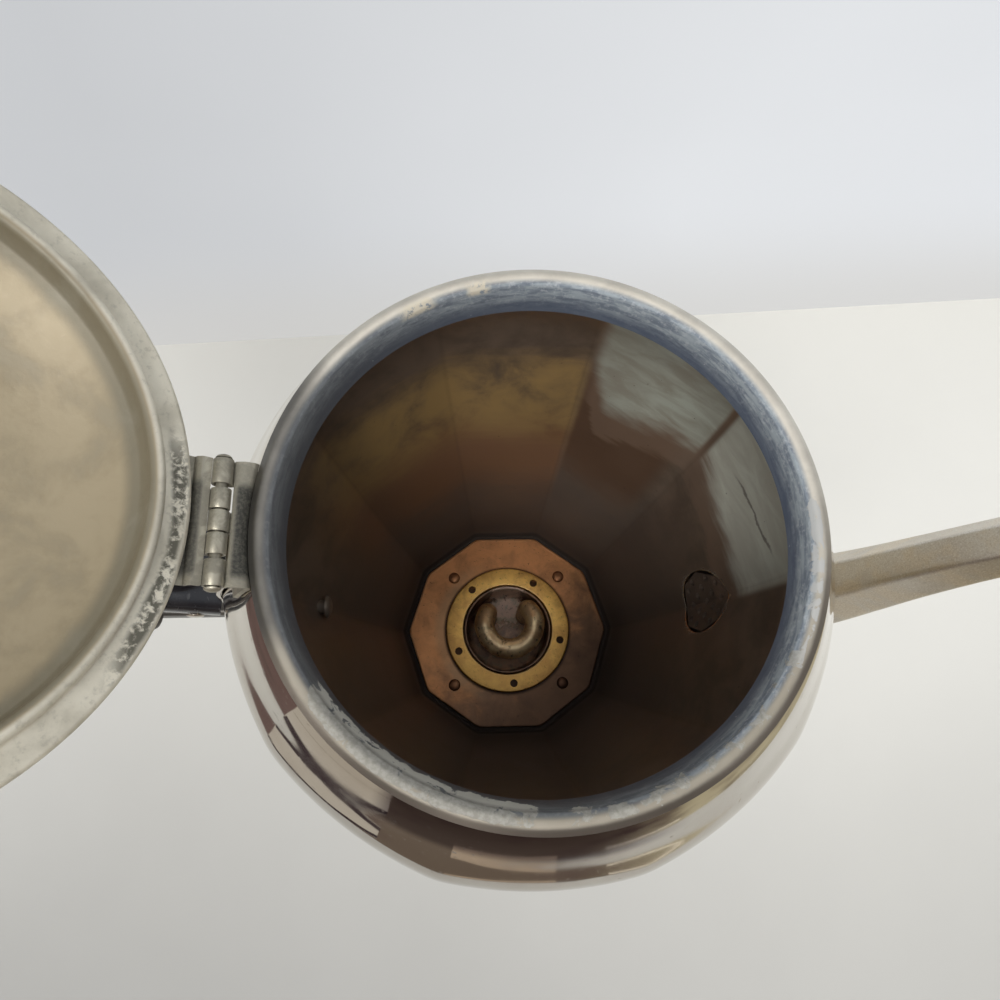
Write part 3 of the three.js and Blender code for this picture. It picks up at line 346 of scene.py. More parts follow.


# Pot wall
# Nickel-plated copper sheet, turned and then pressed into ten flat panels below the round shoulder.
# Coffee has stained its inside brown. A reflection of bright light is painted on two panels near the spout,
# and shade toward the floor.

sheet = 1 * mm
gap = 0.3 * mm
rim_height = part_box("rim_collar")[1].z
floor_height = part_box("floor_plate")[1].z
pot_depth = rim_height - floor_height
rim_radius = 54 * mm
bead_width = 2.8 * mm
bead_drop = 1.1 * mm
collar_sheet = 0.9 * mm
belly_radius = 73.8 * mm
belly_depth = 46.8 * mm
heel_radius = 42.3 * mm
heel_fillet = 1.6 * mm
heel_flange_radius = 30 * mm
heel_under = floor_height - 2.2 * mm
shell_top = rim_height - bead_drop - collar_sheet - gap
panel_count = 10
panel_power = 110
round_depth, flat_depth = 18 * mm, 76 * mm
belly_flat_share = 0.43
shoulder_shares = [(0.15, 0.165), (0.385, 0.476), (0.673, 0.865)]
waist_shares = [(0.152, 0.037), (0.303, 0.161), (0.545, 0.396), (0.78, 0.659), (0.932, 0.861)]
wall_rows, wall_columns = 100, 300


def lerp(first, second, share):
    """What lies a share of the way from first to second."""
    return first + (second - first) * share


def cubic(points, t):
    """Values between evenly numbered points, at numbers t: between each pair a cubic whose slope at a point
    is half the step between that point's neighbours."""
    padded = np.concatenate([points[:1], points, points[-1:]])
    i = np.minimum(t.astype(int), len(points) - 2)
    w = (t - i).reshape(-1, *[1] * (points.ndim - 1))
    a, b, c, d = (padded[i + k] for k in range(4))
    slope_b, slope_c = (c - a) / 2, (d - b) / 2
    square, cube = 3 * (c - b) - 2 * slope_b - slope_c, 2 * (b - c) + slope_b + slope_c
    return b + slope_b * w + square * w**2 + cube * w**3


def spline(points, count):
    """Curve through the points by cubics, resampled to equal lengths."""
    points = np.asarray(points, float)
    curve = cubic(points, np.linspace(0, len(points) - 1, 60 * len(points)))
    run = np.r_[0, np.cumsum(np.linalg.norm(np.diff(curve, axis=0), axis=1))]
    want = np.linspace(0, run[-1], count)
    return np.column_stack([np.interp(want, run, curve[:, k]) for k in range(points.shape[1])])


def arc(centre, radius, first, last, count):
    """Points of an arc in degrees about a centre."""
    turns = np.radians(np.linspace(first, last, count))
    return np.column_stack([centre[0] + radius * np.cos(turns), centre[1] + radius * np.sin(turns)])


def offset_left(line, distance):
    """The line moved to its left: each point goes along the mean normal of its two sides."""
    step = np.diff(line, axis=0)
    step /= np.linalg.norm(step, axis=1)[:, None]
    before, after = np.vstack([step[:1], step]), np.vstack([step, step[-1:]])
    along = before + after
    along /= np.linalg.norm(along, axis=1)[:, None]
    bend = np.maximum((along * after).sum(1), 0.7)[:, None]
    return line + np.column_stack([-along[:, 1], along[:, 0]]) * distance / bend


def panel_share(angles):
    """Share of the corner radius that ten soft-edged panels have at each angle: the apothem over the
    power mean of the cosines to the panels' middles."""
    middles = (np.arange(panel_count) + 0.5) * 2 * np.pi / panel_count
    cosines = np.maximum(np.cos(angles[:, None] - middles[None, :]), 0)
    mean = (cosines**panel_power).sum(1) ** (1 / panel_power)
    return np.cos(np.pi / panel_count) / mean


def pot_flat_share(height):
    """How flat the panels are: none on the shoulder, part at the belly, all below."""
    depth = rim_height - height
    w = np.clip((depth - round_depth) / (belly_depth - round_depth), 0, 1)
    shoulder = belly_flat_share * w * w * (3 - 2 * w)
    waist = lerp(belly_flat_share, 1, np.clip((depth - belly_depth) / (flat_depth - belly_depth), 0, 1))
    return np.where(depth < belly_depth, shoulder, waist)


def turned(outline, columns, flat_share=None):
    """Grid of points: each outline point, a radius and a height, goes round the Z axis, with its radius
    times 1 + flat share (panel share - 1)."""
    angles = np.arange(columns) * 2 * np.pi / columns
    radius, height = outline[:, 0][:, None], outline[:, 1][:, None]
    if flat_share is not None:
        radius = radius * (1 + flat_share(height) * (panel_share(angles)[None, :] - 1))
    points = [radius * np.cos(angles), radius * np.sin(angles), height + 0 * angles]
    return np.stack(np.broadcast_arrays(*points), axis=2)


def surface(name, grid, closed_rows=False, sharp=35, attributes=None, fans=True):
    """Mesh over a grid of points whose columns close round. The rows close too, or each end row is
    closed by a fan to its middle. Faces are turned outwards by the sign of the volume."""
    rows, columns = grid.shape[:2]
    index = np.arange(rows * columns).reshape(rows, columns)
    upper = np.vstack([index, index[:1]]) if closed_rows else index
    low, high = upper[:-1], upper[1:]
    quads = np.stack([low, np.roll(low, -1, 1), np.roll(high, -1, 1), high], axis=2).reshape(-1, 4)
    points = grid.reshape(-1, 3)
    faces = quads.tolist()
    if fans and not closed_rows:
        points = np.vstack([points, grid[0].mean(0), grid[-1].mean(0)])
        ends = [(index[0], rows * columns, 1), (index[-1], rows * columns + 1, -1)]
        for ring, apex, way in ends:
            fan = np.stack([np.roll(ring, -1), ring, np.full(columns, apex)], axis=1)
            faces += fan[:, ::way].tolist()
    a, b, c, d = (points[quads[:, k]] for k in range(4))
    volume = (a * np.cross(b, c)).sum() + (a * np.cross(c, d)).sum()
    if volume < 0:
        faces = [face[::-1] for face in faces]
    mesh = bpy.data.meshes.new(name)
    mesh.from_pydata(points.tolist(), [], faces)
    for key, values in (attributes or {}).items():
        values = np.repeat(np.asarray(values, float), columns)
        values = np.r_[values, np.full(len(points) - len(values), values[-1])]
        mesh.attributes.new(key, "FLOAT", "POINT").data.foreach_set("value", values)
    return finished(name, mesh, sharp)


def smoothed(mesh, sharp):
    """Makes a mesh smooth, and sharp where its faces turn by more than an angle."""
    mesh.polygons.foreach_set("use_smooth", [True] * len(mesh.polygons))
    mesh.set_sharp_from_angle(angle=math.radians(sharp))


def finished(name, mesh, sharp=35):
    """Object of a smoothed mesh."""
    smoothed(mesh, sharp)
    made = bpy.data.objects.new(name, mesh)
    bpy.context.scene.collection.objects.link(made)
    return made


def booled(piece, cutter, sharp=35):
    """Takes the cutter off the piece and leaves it a plain mesh."""
    made = piece.modifiers.new("cut", "BOOLEAN")
    made.object, made.operation, made.solver = cutter, "DIFFERENCE", "EXACT"
    mesh = bpy.data.meshes.new_from_object(piece.evaluated_get(bpy.context.evaluated_depsgraph_get()))
    piece.modifiers.clear()
    piece.data = mesh
    smoothed(mesh, sharp)
    bpy.data.objects.remove(cutter)


def dressed(piece, material, body, slot, *nodes):
    """Gives a piece its material and body, and hides the nodes that it stands for. The slot is not used."""
    piece.data.materials.clear()
    piece.data.materials.append(material)
    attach(piece, body)
    if nodes:
        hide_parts(*nodes)
    return piece


def pot_face(count=wall_rows):
    """Outer corner line of the pot from the heel to the rim, as radii and heights."""

    def at(depth, radius):
        return radius, rim_height - depth

    waist = [at(lerp(belly_depth, pot_depth, d), lerp(belly_radius, heel_radius, n)) for d, n in waist_shares]
    bead_radius = rim_radius + bead_width
    shoulder = [at(belly_depth * d, lerp(bead_radius, belly_radius, s)) for d, s in shoulder_shares]
    points = [at(pot_depth, heel_radius), *waist[::-1], at(belly_depth, belly_radius)]
    return spline([*points, *shoulder[::-1], (bead_radius, shell_top)], count)


def axis_polar(place):
    """Radius, height and angle of a place about the Z axis."""
    x, y, z = split(place)
    return maths("SQRT", x * x + y * y), z, maths("ARCTAN2", y, x)


def stretched(place, scale, rotation=(0, 0, 0), location=(0, 0, 0)):
    """The place through a Mapping node."""
    values = {"Vector": place, "Scale": scale, "Rotation": rotation, "Location": location}
    return output("ShaderNodeMapping", values)


def new_group(name, inputs, outputs):
    """Empty node group, with the values that it is given and its output node. Inputs map to default
    values, or to None for a vector."""
    made = bpy.data.node_groups.new(name, "ShaderNodeTree")
    for key, value in inputs.items():
        kind = "NodeSocketVector" if value is None else "NodeSocketFloat"
        socket = made.interface.new_socket(key, in_out="INPUT", socket_type=kind)
        if value is not None:
            socket.default_value = value
    for key in outputs:
        made.interface.new_socket(key, in_out="OUTPUT", socket_type="NodeSocketFloat")
    given = made.nodes.new("NodeGroupInput").outputs
    return made, [Value(given[key]) for key in inputs], made.nodes.new("NodeGroupOutput")


# Blotches: soft-edged stains where a noise passes a level
blotches, (place, scale, level, edge), ends = new_group(
    "blotches", {"Vector": None, "Scale": 60.0, "Level": 0.55, "Edge": 0.08}, ["Mask"]
)
feed(ends, Mask=ramp(noise(place, scale, 6.0, 0.62, 0.4), level - edge, level + edge))

# Scratches: three crossing sets of long thin lines, broken up by a slow noise
scratches, (place, scale, amount), ends = new_group(
    "scratches", {"Vector": None, "Scale": 90.0, "Amount": 0.5}, ["Mask"]
)
lines = []
for tilt in (0.5, -0.9, 2.1):
    path = stretched(place, (1, 0.03, 1), (tilt, 0.3 * tilt, tilt))
    lines.append(ramp(noise(path, scale * 9.0, 1.0, 0.4), 0.70, 0.76))
patch = ramp(noise(place, scale, 2.0), 0.42, 0.62)
every = maths("MAXIMUM", maths("MAXIMUM", lines[0], lines[1]), lines[2])
feed(ends, Mask=every * patch * amount)

# Crust: a dry white deposit, grainy at its edges
crust, (place, scale, cover), ends = new_group(
    "crust", {"Vector": None, "Scale": 300.0, "Cover": 0.5}, ["Mask", "Height"]
)
grain = noise(place, scale, 8.0, 0.68, 0.6)
level = 0.72 - cover * 0.35
mask = ramp(grain * 0.6 + noise(place, scale * 0.22, 3.0) * 0.4, level, level + 0.09)
feed(ends, Mask=mask, Height=mask * grain)


def blotched(place, scale, level, edge):
    """Mask of the blotches."""
    values = {"Vector": place, "Scale": scale, "Level": level, "Edge": edge}
    return output("ShaderNodeGroup", values, node_tree=blotches)


def scratched(place, scale, amount):
    """Mask of the scratches."""
    return output("ShaderNodeGroup", {"Vector": place, "Scale": scale, "Amount": amount}, node_tree=scratches)


def crusted(place, scale, cover):
    """Mask and height of the crust."""
    made = add("ShaderNodeGroup", {"Vector": place, "Scale": scale, "Cover": cover}, node_tree=crust)
    return [Value(socket) for socket in made.outputs]


nickel_bright = (0.66, 0.62, 0.545)
nickel_warm = (0.52, 0.455, 0.38)
nickel_dull = (0.40, 0.36, 0.31)
near_room_colour, near_room_reach = (0.12, 0.085, 0.088), (63.4 * mm, 61.6 * mm)


def nickel_finish(place, warmth):
    """Colour, roughness and relief of old polished nickel plate."""
    haze = blotched(place, 26.0, 0.5, 0.16)
    spots = blotched(place, 420.0, 0.69, 0.03)
    lines = scratched(place, 70.0, 0.8)
    colour = blend(haze * warmth, nickel_bright, nickel_warm)
    colour = blend(spots * 0.55, colour, nickel_dull)
    colour = blend(lines * 0.35, colour, (0.75, 0.72, 0.66))
    rough = between(haze, 0.035, 0.1)
    rough += maths("MAXIMUM", lines, spots) * 0.16
    ripple = noise(place, 45.0, 2.0)
    relief = ripple - lines * 0.02
    return colour, rough, relief


def stain_finish(place):
    """Colour, roughness and relief of the coffee stain inside: grey brown at the top, olive gold half way
    down the far panels, orange brown below it, a painted grey-green reflection of bright light on the two
    panels by the spout, and painted shade toward the floor."""
    radius, height, angle = axis_polar(place)
    degrees = maths("DEGREES", angle)
    panel = degrees * (panel_count / 360)
    within = maths("FRACT", panel)
    tone = output("ShaderNodeTexWhiteNoise", {"W": maths("FLOOR", panel)}, "Value", noise_dimensions="1D")
    crease = ramp(maths("MINIMUM", within, 1.0 - within), 0.03, 0.0)
    crease *= ramp(height, 175 * mm, 140 * mm)
    broad = noise(place, 16.0, 4.0, 0.6, 0.5)
    cloudy = noise(place, 60.0, 6.0, 0.62, 0.3)
    level = noise(stretched(place, (0.5, 0.5, 3)), 110.0, 5.0, 0.6)
    high = height + (broad - 0.5) * (20 * mm)
    high += (level - 0.5) * (12 * mm)
    # Brown all over, darker low down
    colour = blend(ramp(cloudy, 0.35, 0.65), (0.13, 0.098, 0.072), (0.21, 0.155, 0.112))
    low = ramp(high, 112 * mm, 62 * mm)
    colour = blend(low * 0.75, colour, (0.125, 0.10, 0.086))
    ruddy = ramp(degrees, 37.0, 44.0) * ramp(degrees, 72.0, 70.0) * ramp(high, 66 * mm, 92 * mm)
    colour = blend(ruddy * 0.85, colour, (0.13, 0.072, 0.043))
    # Olive gold over orange brown on the far panels
    far = ramp(degrees, 69.5, 73.5) * ramp(degrees, 172.0, 125.0)
    gold = far * ramp(high, 139 * mm, 124 * mm) * ramp(high, 86 * mm, 108 * mm)
    orange = far * ramp(high, 118 * mm, 96 * mm) * ramp(high, 48 * mm, 80 * mm)
    colour = blend(orange * 0.75, colour, (0.30, 0.145, 0.068))
    colour = blend(gold * ramp(cloudy, 0.2, 0.6), colour, (0.44, 0.285, 0.11))
    # Painted reflection: a streaked grey-green patch of reflected bright light on the two panels by the
    # spout, over a lighter brown painted edge below it
    reflection_foot = between(ramp(degrees, 0.0, 38.0), 113 * mm, 125 * mm)
    reflection_foot = between(ramp(degrees, 44.0, 62.0), reflection_foot, 118 * mm)
    reflection_foot += ramp(degrees, 63.0, 71.0) * (12 * mm)
    above = high - reflection_foot
    sides = ramp(degrees, -2.5, 0.5) * ramp(degrees, 72.0, 67.5)
    apart = ramp(abs(degrees - 36.0), 0.3, 1.7)
    reflection_edge = sides * ramp(above, -14 * mm, -10 * mm)
    colour = blend(reflection_edge * 0.55, colour, (0.27, 0.185, 0.13))
    spout_panel_reflection = sides * apart * ramp(above, -5 * mm, 5 * mm)
    streaks = ramp(noise(stretched(place, (0.7, 0.7, 2.2)), 75.0, 5.0, 0.6, 0.6), 0.3, 0.7)
    shift = ramp(degrees, 52.0, 66.0)
    reflection_colour = blend(streaks, (0.42, 0.42, 0.345), (0.53, 0.565, 0.48))
    reflection_colour = blend(shift * 0.5, reflection_colour, (0.38, 0.38, 0.31))
    reflection_colour = blend(ramp(degrees, 38.0, 33.0) * 0.8, reflection_colour, (0.80, 0.82, 0.70))
    colour = blend(spout_panel_reflection * between(streaks, 0.7, 0.95), colour, reflection_colour)
    wander = (cloudy - 0.5) * (9 * mm)
    scratch = abs(height + wander - 134 * mm)
    scratch = ramp(scratch, 0.7 * mm, 0.2 * mm) * ramp(degrees, 4.0, 8.0) * ramp(degrees, 27.0, 22.0)
    colour = blend(scratch * 0.7, colour, (0.12, 0.10, 0.085))
    # Panels differ a little, the creases between them are darker low down, and a few dark specks stick
    # everywhere
    colour = blend(tone * 0.22, colour, (0.10, 0.06, 0.045))
    colour = blend(crease * 0.16, colour, (0.06, 0.04, 0.03))
    specks = ramp(noise(place, 800.0, 2.0, 0.5), 0.74, 0.78)
    colour = blend(specks * 0.6, colour, (0.06, 0.04, 0.03))
    # Painted shade: the wall is painted darker toward the floor, and its heel near black, where little light
    # reaches
    floor_painted_shade = ramp(height, floor_height + 20 * mm, floor_height + 1 * mm)
    colour = blend(floor_painted_shade * 0.45, colour, (0.035, 0.026, 0.021))
    heel = ramp(height, floor_height + 2.2 * mm, floor_height + 0.4 * mm)
    colour = blend(heel, colour, (0.06, 0.044, 0.034))
    rough = between(ramp(cloudy, 0.3, 0.7), 0.3, 0.42)
    rough = between(heel, between(spout_panel_reflection, rough, 0.5), 0.95)
    relief = level * 0.5 + cloudy
    return colour, rough, relief - scratch * 0.8


def lining_mask(shader):
    """1 inside a piece and 0 outside, as its mesh says."""
    return output("ShaderNodeAttribute", which="Fac", tree=shader.id_data, attribute_name="lining")


pot_metal, shader, place = new_material("pot_nickel_and_stain", IOR=1.6)
outer_colour, outer_rough, outer_relief = nickel_finish(place, 0.6)
inner_colour, inner_rough, inner_relief = stain_finish(place)
lining = lining_mask(shader)
radius, _, angle = axis_polar(place)
# Painted reflection: under the rim on the near side the plating is painted a dark purple brown, for the dim
# room in front that it mirrors
degrees = maths("DEGREES", angle)
near_room_reflection = ramp(degrees, -124.0, -119.0) * ramp(degrees, -62.0, -80.0) * ramp(radius, *near_room_reach)
outer_colour = blend(near_room_reflection * 0.92, outer_colour, near_room_colour)
# The spout, beyond the belly, is pitted and has browned between its pits
on_spout = ramp(radius, belly_radius, belly_radius + 3 * mm)
pits = noise(place, 2600.0, 3.0, 0.6)
brown = on_spout * ramp(noise(stretched(place, (0.4, 1, 1)), 120.0, 4.0), 0.42, 0.6) * 0.6
outer_colour = blend(brown, outer_colour, (0.68, 0.58, 0.43))
outer_colour = blend(on_spout * ramp(pits, 0.5, 0.66) * 0.45, outer_colour, (0.42, 0.35, 0.26))
outer_colour = blend(on_spout * ramp(pits, 0.44, 0.3) * 0.6, outer_colour, (0.86, 0.84, 0.77))
outer_rough += on_spout * 0.27
feed(
    shader,
    Base_Color=blend(lining, outer_colour, inner_colour),
    Metallic=between(lining, 1.0, 0.12),
    Roughness=between(lining, outer_rough, inner_rough),
    Normal=bump(between(lining, outer_relief, inner_relief), 0.25, 0.25 * mm),
)

flange = np.array([[heel_flange_radius, heel_under]])
heel = arc((heel_radius - heel_fillet, heel_under + heel_fillet), heel_fillet, -90, 0, 7)
outer_line = np.vstack([flange, heel, pot_face()[1:]])
inner_line = offset_left(outer_line, sheet)[::-1]
wall_outline = np.vstack([outer_line, inner_line])
lining_rows = np.r_[np.zeros(len(outer_line)), np.ones(len(inner_line))]
pot_wall = surface(
    "pot_wall", turned(wall_outline, wall_columns, pot_flat_share), closed_rows=True, sharp=50,
    attributes={"lining": lining_rows},
)

# Window through the wall behind the spout, filled by the strainer
window_wide, window_tall = 20 * mm, 25 * mm
window_from, window_to = 30 * mm, 80 * mm
strainer_low, strainer_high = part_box("spout_strainer")
spout_root_height = (strainer_low.z + strainer_high.z) / 2


def along_x(section, x0, x1, height, rows=2):
    """Bar along X with a section of widths and heights."""
    places = np.linspace(x0, x1, rows)[:, None]
    bar = [places + 0 * section[:, 0], 0 * places + section[:, 0], 0 * places + section[:, 1] + height]
    return np.stack(bar, axis=2)


oval = arc((0, 0), 1, 0, 360, 49)[:-1] * [window_wide / 2, window_tall / 2]
cutter = along_x(oval, window_from, window_to, spout_root_height)
booled(pot_wall, surface("window_cutter", cutter, attributes={"lining": np.ones(2)}), sharp=50)
dressed(pot_wall, pot_metal, "pot", "nickel", "pot_shell")


# Rim collar
# Rolled sheet pressed over the mouth: an outer bead, a crest and a steep neck wall down to the throat.
# It is tarnished blue-grey inside, with pale mineral deposits along the crest.

throat_radius = 51.4 * mm
throat_height = rim_height - 9 * mm
collar_columns = 300
fleck_places = [(117.75, 5.5, 2.0), (103.0, 3.5, 1.5)]

roll = spline(
    [
        (rim_radius + bead_width, rim_height - bead_drop),
        (rim_radius + bead_width / 2, rim_height - bead_drop / 5),
        (rim_radius, rim_height),
        (rim_radius - bead_drop, rim_height - bead_drop),
    ],
    20,
)
neck = np.column_stack([
    np.linspace(roll[-1][0], throat_radius, 14)[1:],
    np.linspace(roll[-1][1], throat_height, 14)[1:],
])
face = np.vstack([roll, neck])
collar_outline = np.vstack([face, offset_left(face, collar_sheet)[::-1]])

rim_metal, shader, place = new_material("rim_tarnish")
radius, height, angle = axis_polar(place)
x, y, _ = split(place)
inside = ramp(radius, rim_radius + 0.1 * mm, rim_radius - 0.9 * mm)
wobble = noise(place, 120.0, 5.0, 0.6, 0.3)
fine = noise(place, 900.0, 6.0, 0.65)
drawn = noise(stretched(place, (1, 1, 5)), 170.0, 5.0, 0.62, 0.2)
tarnish = blend(ramp(drawn, 0.36, 0.62), (0.19, 0.225, 0.27), (0.38, 0.43, 0.46))
tarnish = blend(ramp(fine, 0.48, 0.7) * 0.5, tarnish, (0.62, 0.65, 0.67))
low_edge = ramp(height + drawn * (2 * mm), throat_height + 6.5 * mm, throat_height + 2 * mm)
tarnish = blend(low_edge * 0.85, tarnish, (0.11, 0.135, 0.19))
lean = x * 0.85 + y * 0.45
tarnish = blend(ramp(lean, 38 * mm, -36 * mm) * 0.74, tarnish, (0.095, 0.093, 0.088))
salt = blotched(place, 900.0, 0.72, 0.015)
tarnish = blend(salt * low_edge, tarnish, (0.75, 0.76, 0.76))
bead_colour, bead_rough, _ = nickel_finish(place, 0.4)
cream = blend(ramp(wobble, 0.3, 0.7), (0.70, 0.665, 0.57), (0.50, 0.47, 0.40))
near_side = ramp(y, 20 * mm, -40 * mm)
by_hinge = ramp(x, -40 * mm, -51 * mm) * ramp(y, -26 * mm, -18 * mm)
bead = blend(0.6, bead_colour, cream)
# Painted dark reflection: the bead is painted darker on its near side, and darker still on its outer slope
# there, for the dim room in front that it mirrors
bead = blend(near_side * 0.85, bead, (0.26, 0.23, 0.175))
outer_slope = ramp(radius + wobble * (0.6 * mm), rim_radius + 1.2 * mm, rim_radius + 2.2 * mm)
bead = blend(outer_slope * near_side * 0.8, bead, (0.095, 0.078, 0.065))
bead = blend(by_hinge * between(wobble, 0.7, 1.0), bead, (0.085, 0.082, 0.075))
colour = blend(inside, bead, tarnish)
low_left = y + x * 0.25
by_left = ramp(low_left, -28 * mm, -38 * mm) * ramp(x, 12 * mm, -12 * mm)
off_hinge = ramp(x, -46 * mm, -41 * mm)
on_top = ramp(abs(radius - rim_radius), 1.7 * mm, 0.7 * mm)
by_right = ramp(x, 44 * mm, 50 * mm) * ramp(y, 10 * mm, 2 * mm) * on_top
sparse = maths("MAXIMUM", near_side * 0.5, by_right * 0.64)
band = ramp(radius, rim_radius + 1.8 * mm, rim_radius + 0.8 * mm)
band *= ramp(height + by_left * (3.2 * mm), rim_height - 6.0 * mm, rim_height - 2.0 * mm)
cover = maths("MAXIMUM", sparse, by_left * 0.9) * off_hinge * band
drift = noise(place, 240.0, 8.0, 0.66, 0.5)
level = 0.72 - cover * 0.36
lime = ramp(drift, level, level + 0.03)
lime_colour_and_light = blend(ramp(fine, 0.35, 0.65), (0.28, 0.272, 0.235), (0.38, 0.37, 0.33))
# Painted light: the lime is painted paler low on the neck, to look as lit as the crest, and paler on the
# right, where more light falls
lime_colour_and_light = blend(ramp(height, rim_height - 1.5 * mm, rim_height - 4 * mm), lime_colour_and_light, (0.58, 0.57, 0.50))
lime_colour_and_light = blend(by_right, lime_colour_and_light, (0.48, 0.485, 0.47))
colour = blend(lime * 0.9, colour, lime_colour_and_light)
# Two cream flecks lie on the far side of the crest, over a grainy brown edge
turned_to = maths("DEGREES", angle)
flecks = [ramp(abs(turned_to - turn), end, start) for turn, end, start in fleck_places]
flecks = maths("MAXIMUM", *flecks)
on_crest = ramp(abs(radius - (rim_radius - 1 * mm)), 1.9 * mm, 0.7 * mm)
on_crest *= ramp(height, rim_height - 2.8 * mm, rim_height - 1.7 * mm)
colour = blend(flecks * on_crest * ramp(fine, 0.38, 0.5) * 0.9, colour, (0.66, 0.60, 0.47))
rough = between(inside, bead_rough + 0.26, between(fine, 0.32, 0.55))
crest = ramp(abs(radius - (rim_radius - 0.2 * mm)), 2.0 * mm, 0.6 * mm)
rough = between(lime, rough + crest * 0.32, 0.85)
relief = lime * drift * 0.35 + fine * 0.15
metal = between(inside, between(near_side, 0.85, 0.6), 0.35)
metal *= between(maths("MAXIMUM", lime, crest), 1.0, 0.1)
feed(shader, Base_Color=colour, Roughness=rough, Metallic=metal, Normal=bump(relief, 0.6, 0.25 * mm))
collar = surface("rim_roll", turned(collar_outline, collar_columns), closed_rows=True, sharp=60)
dressed(collar, rim_metal, "pot", "tarnished_nickel", "rim_collar")


# Spout strainer
# A perforated oval of the pot's own metal behind the spout, stained like the wall and a little rougher.

strainer_metal, shader, place = new_material("strainer_stain", Metallic=0.25)
colour, rough, relief = stain_finish(place)
grit, grit_height = crusted(place, 900.0, 0.35)
colour = blend(grit * 0.2, colour, (0.30, 0.24, 0.17))
feed(
    shader,
    Base_Color=colour,
    Roughness=rough + 0.15,
    Normal=bump(relief + grit_height, 0.5, 0.2 * mm),
)


def repaint(node, material):
    """Gives a CAD node that stays a better material."""
    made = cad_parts[node]
    made.data.materials.clear()
    made.data.materials.append(material)


repaint("spout_strainer", strainer_metal)


# Floor plate and its rivets
# A copper decagon pressed into the bottom of the pot and held by four domed copper rivets.
# Coffee has blotched it dark. Shade is painted on it, darker toward the near right and round the nut, and a
# highlight is painted on its far left edge.

floor_sheet = 1.2 * mm
floor_under = floor_height - floor_sheet
plate_radius = heel_radius - sheet - heel_fillet
plate_round, plate_round_share = 0.35 * mm, 0.0175
nut_bore_radius = 17.7 * mm
rivet_circle = 30.3 * mm
rivet_head_radius, rivet_head_rise = 2.3 * mm, 0.8 * mm
rivet_radius, rivet_length = 1.5 * mm, 3.8 * mm
copper_bright = (0.72, 0.33, 0.14)
copper_brown = (0.22, 0.125, 0.075)
copper_dark = (0.075, 0.048, 0.036)


def floor_grid(outline, columns):
    """Grid of points: each outline point, a share and a height, lies that share of the way out from the
    round hole to the decagon's edge."""
    angles = np.arange(columns) * 2 * np.pi / columns
    radius = lerp(nut_bore_radius, plate_radius * panel_share(angles)[None, :], outline[:, 0][:, None])
    height = outline[:, 1][:, None] + 0 * radius
    return np.stack([radius * np.cos(angles), radius * np.sin(angles), height], axis=2)


def joined(name, pieces, sharp=35):
    """One object from several, each keeping its own closed surface."""
    whole = bmesh.new()
    for piece in pieces:
        whole.from_mesh(piece.data)
        bpy.data.objects.remove(piece)
    mesh = bpy.data.meshes.new(name)
    whole.to_mesh(mesh)
    whole.free()
    return finished(name, mesh, sharp)


def dome_outline(radius, rise, shank, length, count=12):
    """Outline of a rivet: up the shank, out under the head and over a quarter ellipse to the axis."""
    turns = np.radians(np.linspace(0, 89.5, count))
    dome = np.column_stack([radius * np.cos(turns), rise * np.sin(turns)])
    shaft = [[0.02 * shank, -length], [0.9 * shank, -length], [shank, -length * 0.97], [shank, 0]]
    return np.vstack([shaft, dome])


copper_floor, shader, place = new_material("copper_floor", Metallic=1.0)
x, y, _ = split(place)
# Painted shade: the plate is painted brown toward the near right and bright copper toward the far left, for
# how the light falls in the pot
shade = y * 0.8 - x * 0.6
cloudy = noise(place, 90.0, 6.0, 0.62, 0.5)
shade += (cloudy - 0.5) * (60 * mm)
colour = blend(ramp(shade, -20 * mm, 12 * mm), copper_brown, copper_bright)
dark = blotched(place, 110.0, 0.56, 0.2)
colour = blend(dark * 0.45, colour, copper_dark)
radius, height, angle = axis_polar(place)
rubbed = ramp(radius, 31 * mm, 27 * mm) * ramp(x, -4 * mm, -22 * mm)
colour = blend(rubbed * 0.5, colour, (0.40, 0.27, 0.155))
turn = maths("FRACT", angle * (panel_count / math.tau))
reach = maths("COSINE", (turn - 0.5) * (math.tau / panel_count))
reach = radius * reach
apothem = plate_radius * math.cos(math.pi / panel_count)
# Painted highlight along the plate's far left edge
painted_glint = ramp(reach, apothem - 0.55 * mm, apothem - 0.25 * mm) * ramp(shade, -8 * mm, 22 * mm)
colour = blend(painted_glint * 0.85, colour, (0.98, 0.62, 0.36))
# Painted shade: a near black ring on the plate just round the nut
nut_painted_shade = ramp(radius, 26.2 * mm, 24.9 * mm)
colour = blend(nut_painted_shade * 0.9, colour, (0.015, 0.01, 0.008))
specks = blotched(place, 900.0, 0.66, 0.04)
colour = blend(specks * 0.6, colour, copper_dark)
# Painted shade: darker still toward the near right
near_right_painted_shade = ramp(shade, -12 * mm, -36 * mm) * 0.5
colour = blend(near_right_painted_shade, colour, (0.055, 0.036, 0.028))
# The rivets' heads, proud of the plate, are darker
proud = ramp(height, floor_height + 0.08 * mm, floor_height + 0.16 * mm)
colour = blend(proud * 0.45, colour, (0.10, 0.04, 0.025))
feed(
    shader,
    Base_Color=colour,
    Roughness=between(cloudy, 0.3, 0.52),
    Normal=bump(cloudy + specks * 0.2, 0.35, 0.3 * mm),
)
turns = np.radians([0, 30, 60, 90])
plate_outline = np.vstack([
    [(0, floor_under), (1, floor_under)],
    np.column_stack([
        1 - plate_round_share * (1 - np.cos(turns)), floor_height - plate_round * (1 - np.sin(turns)),
    ]),
    np.column_stack([np.linspace(0.96, 0, 8), np.full(8, floor_height)]),
])
floor = surface("floor_copper", floor_grid(plate_outline, 240), closed_rows=True, sharp=60)
dressed(floor, copper_floor, "pot", "copper", "floor_plate")

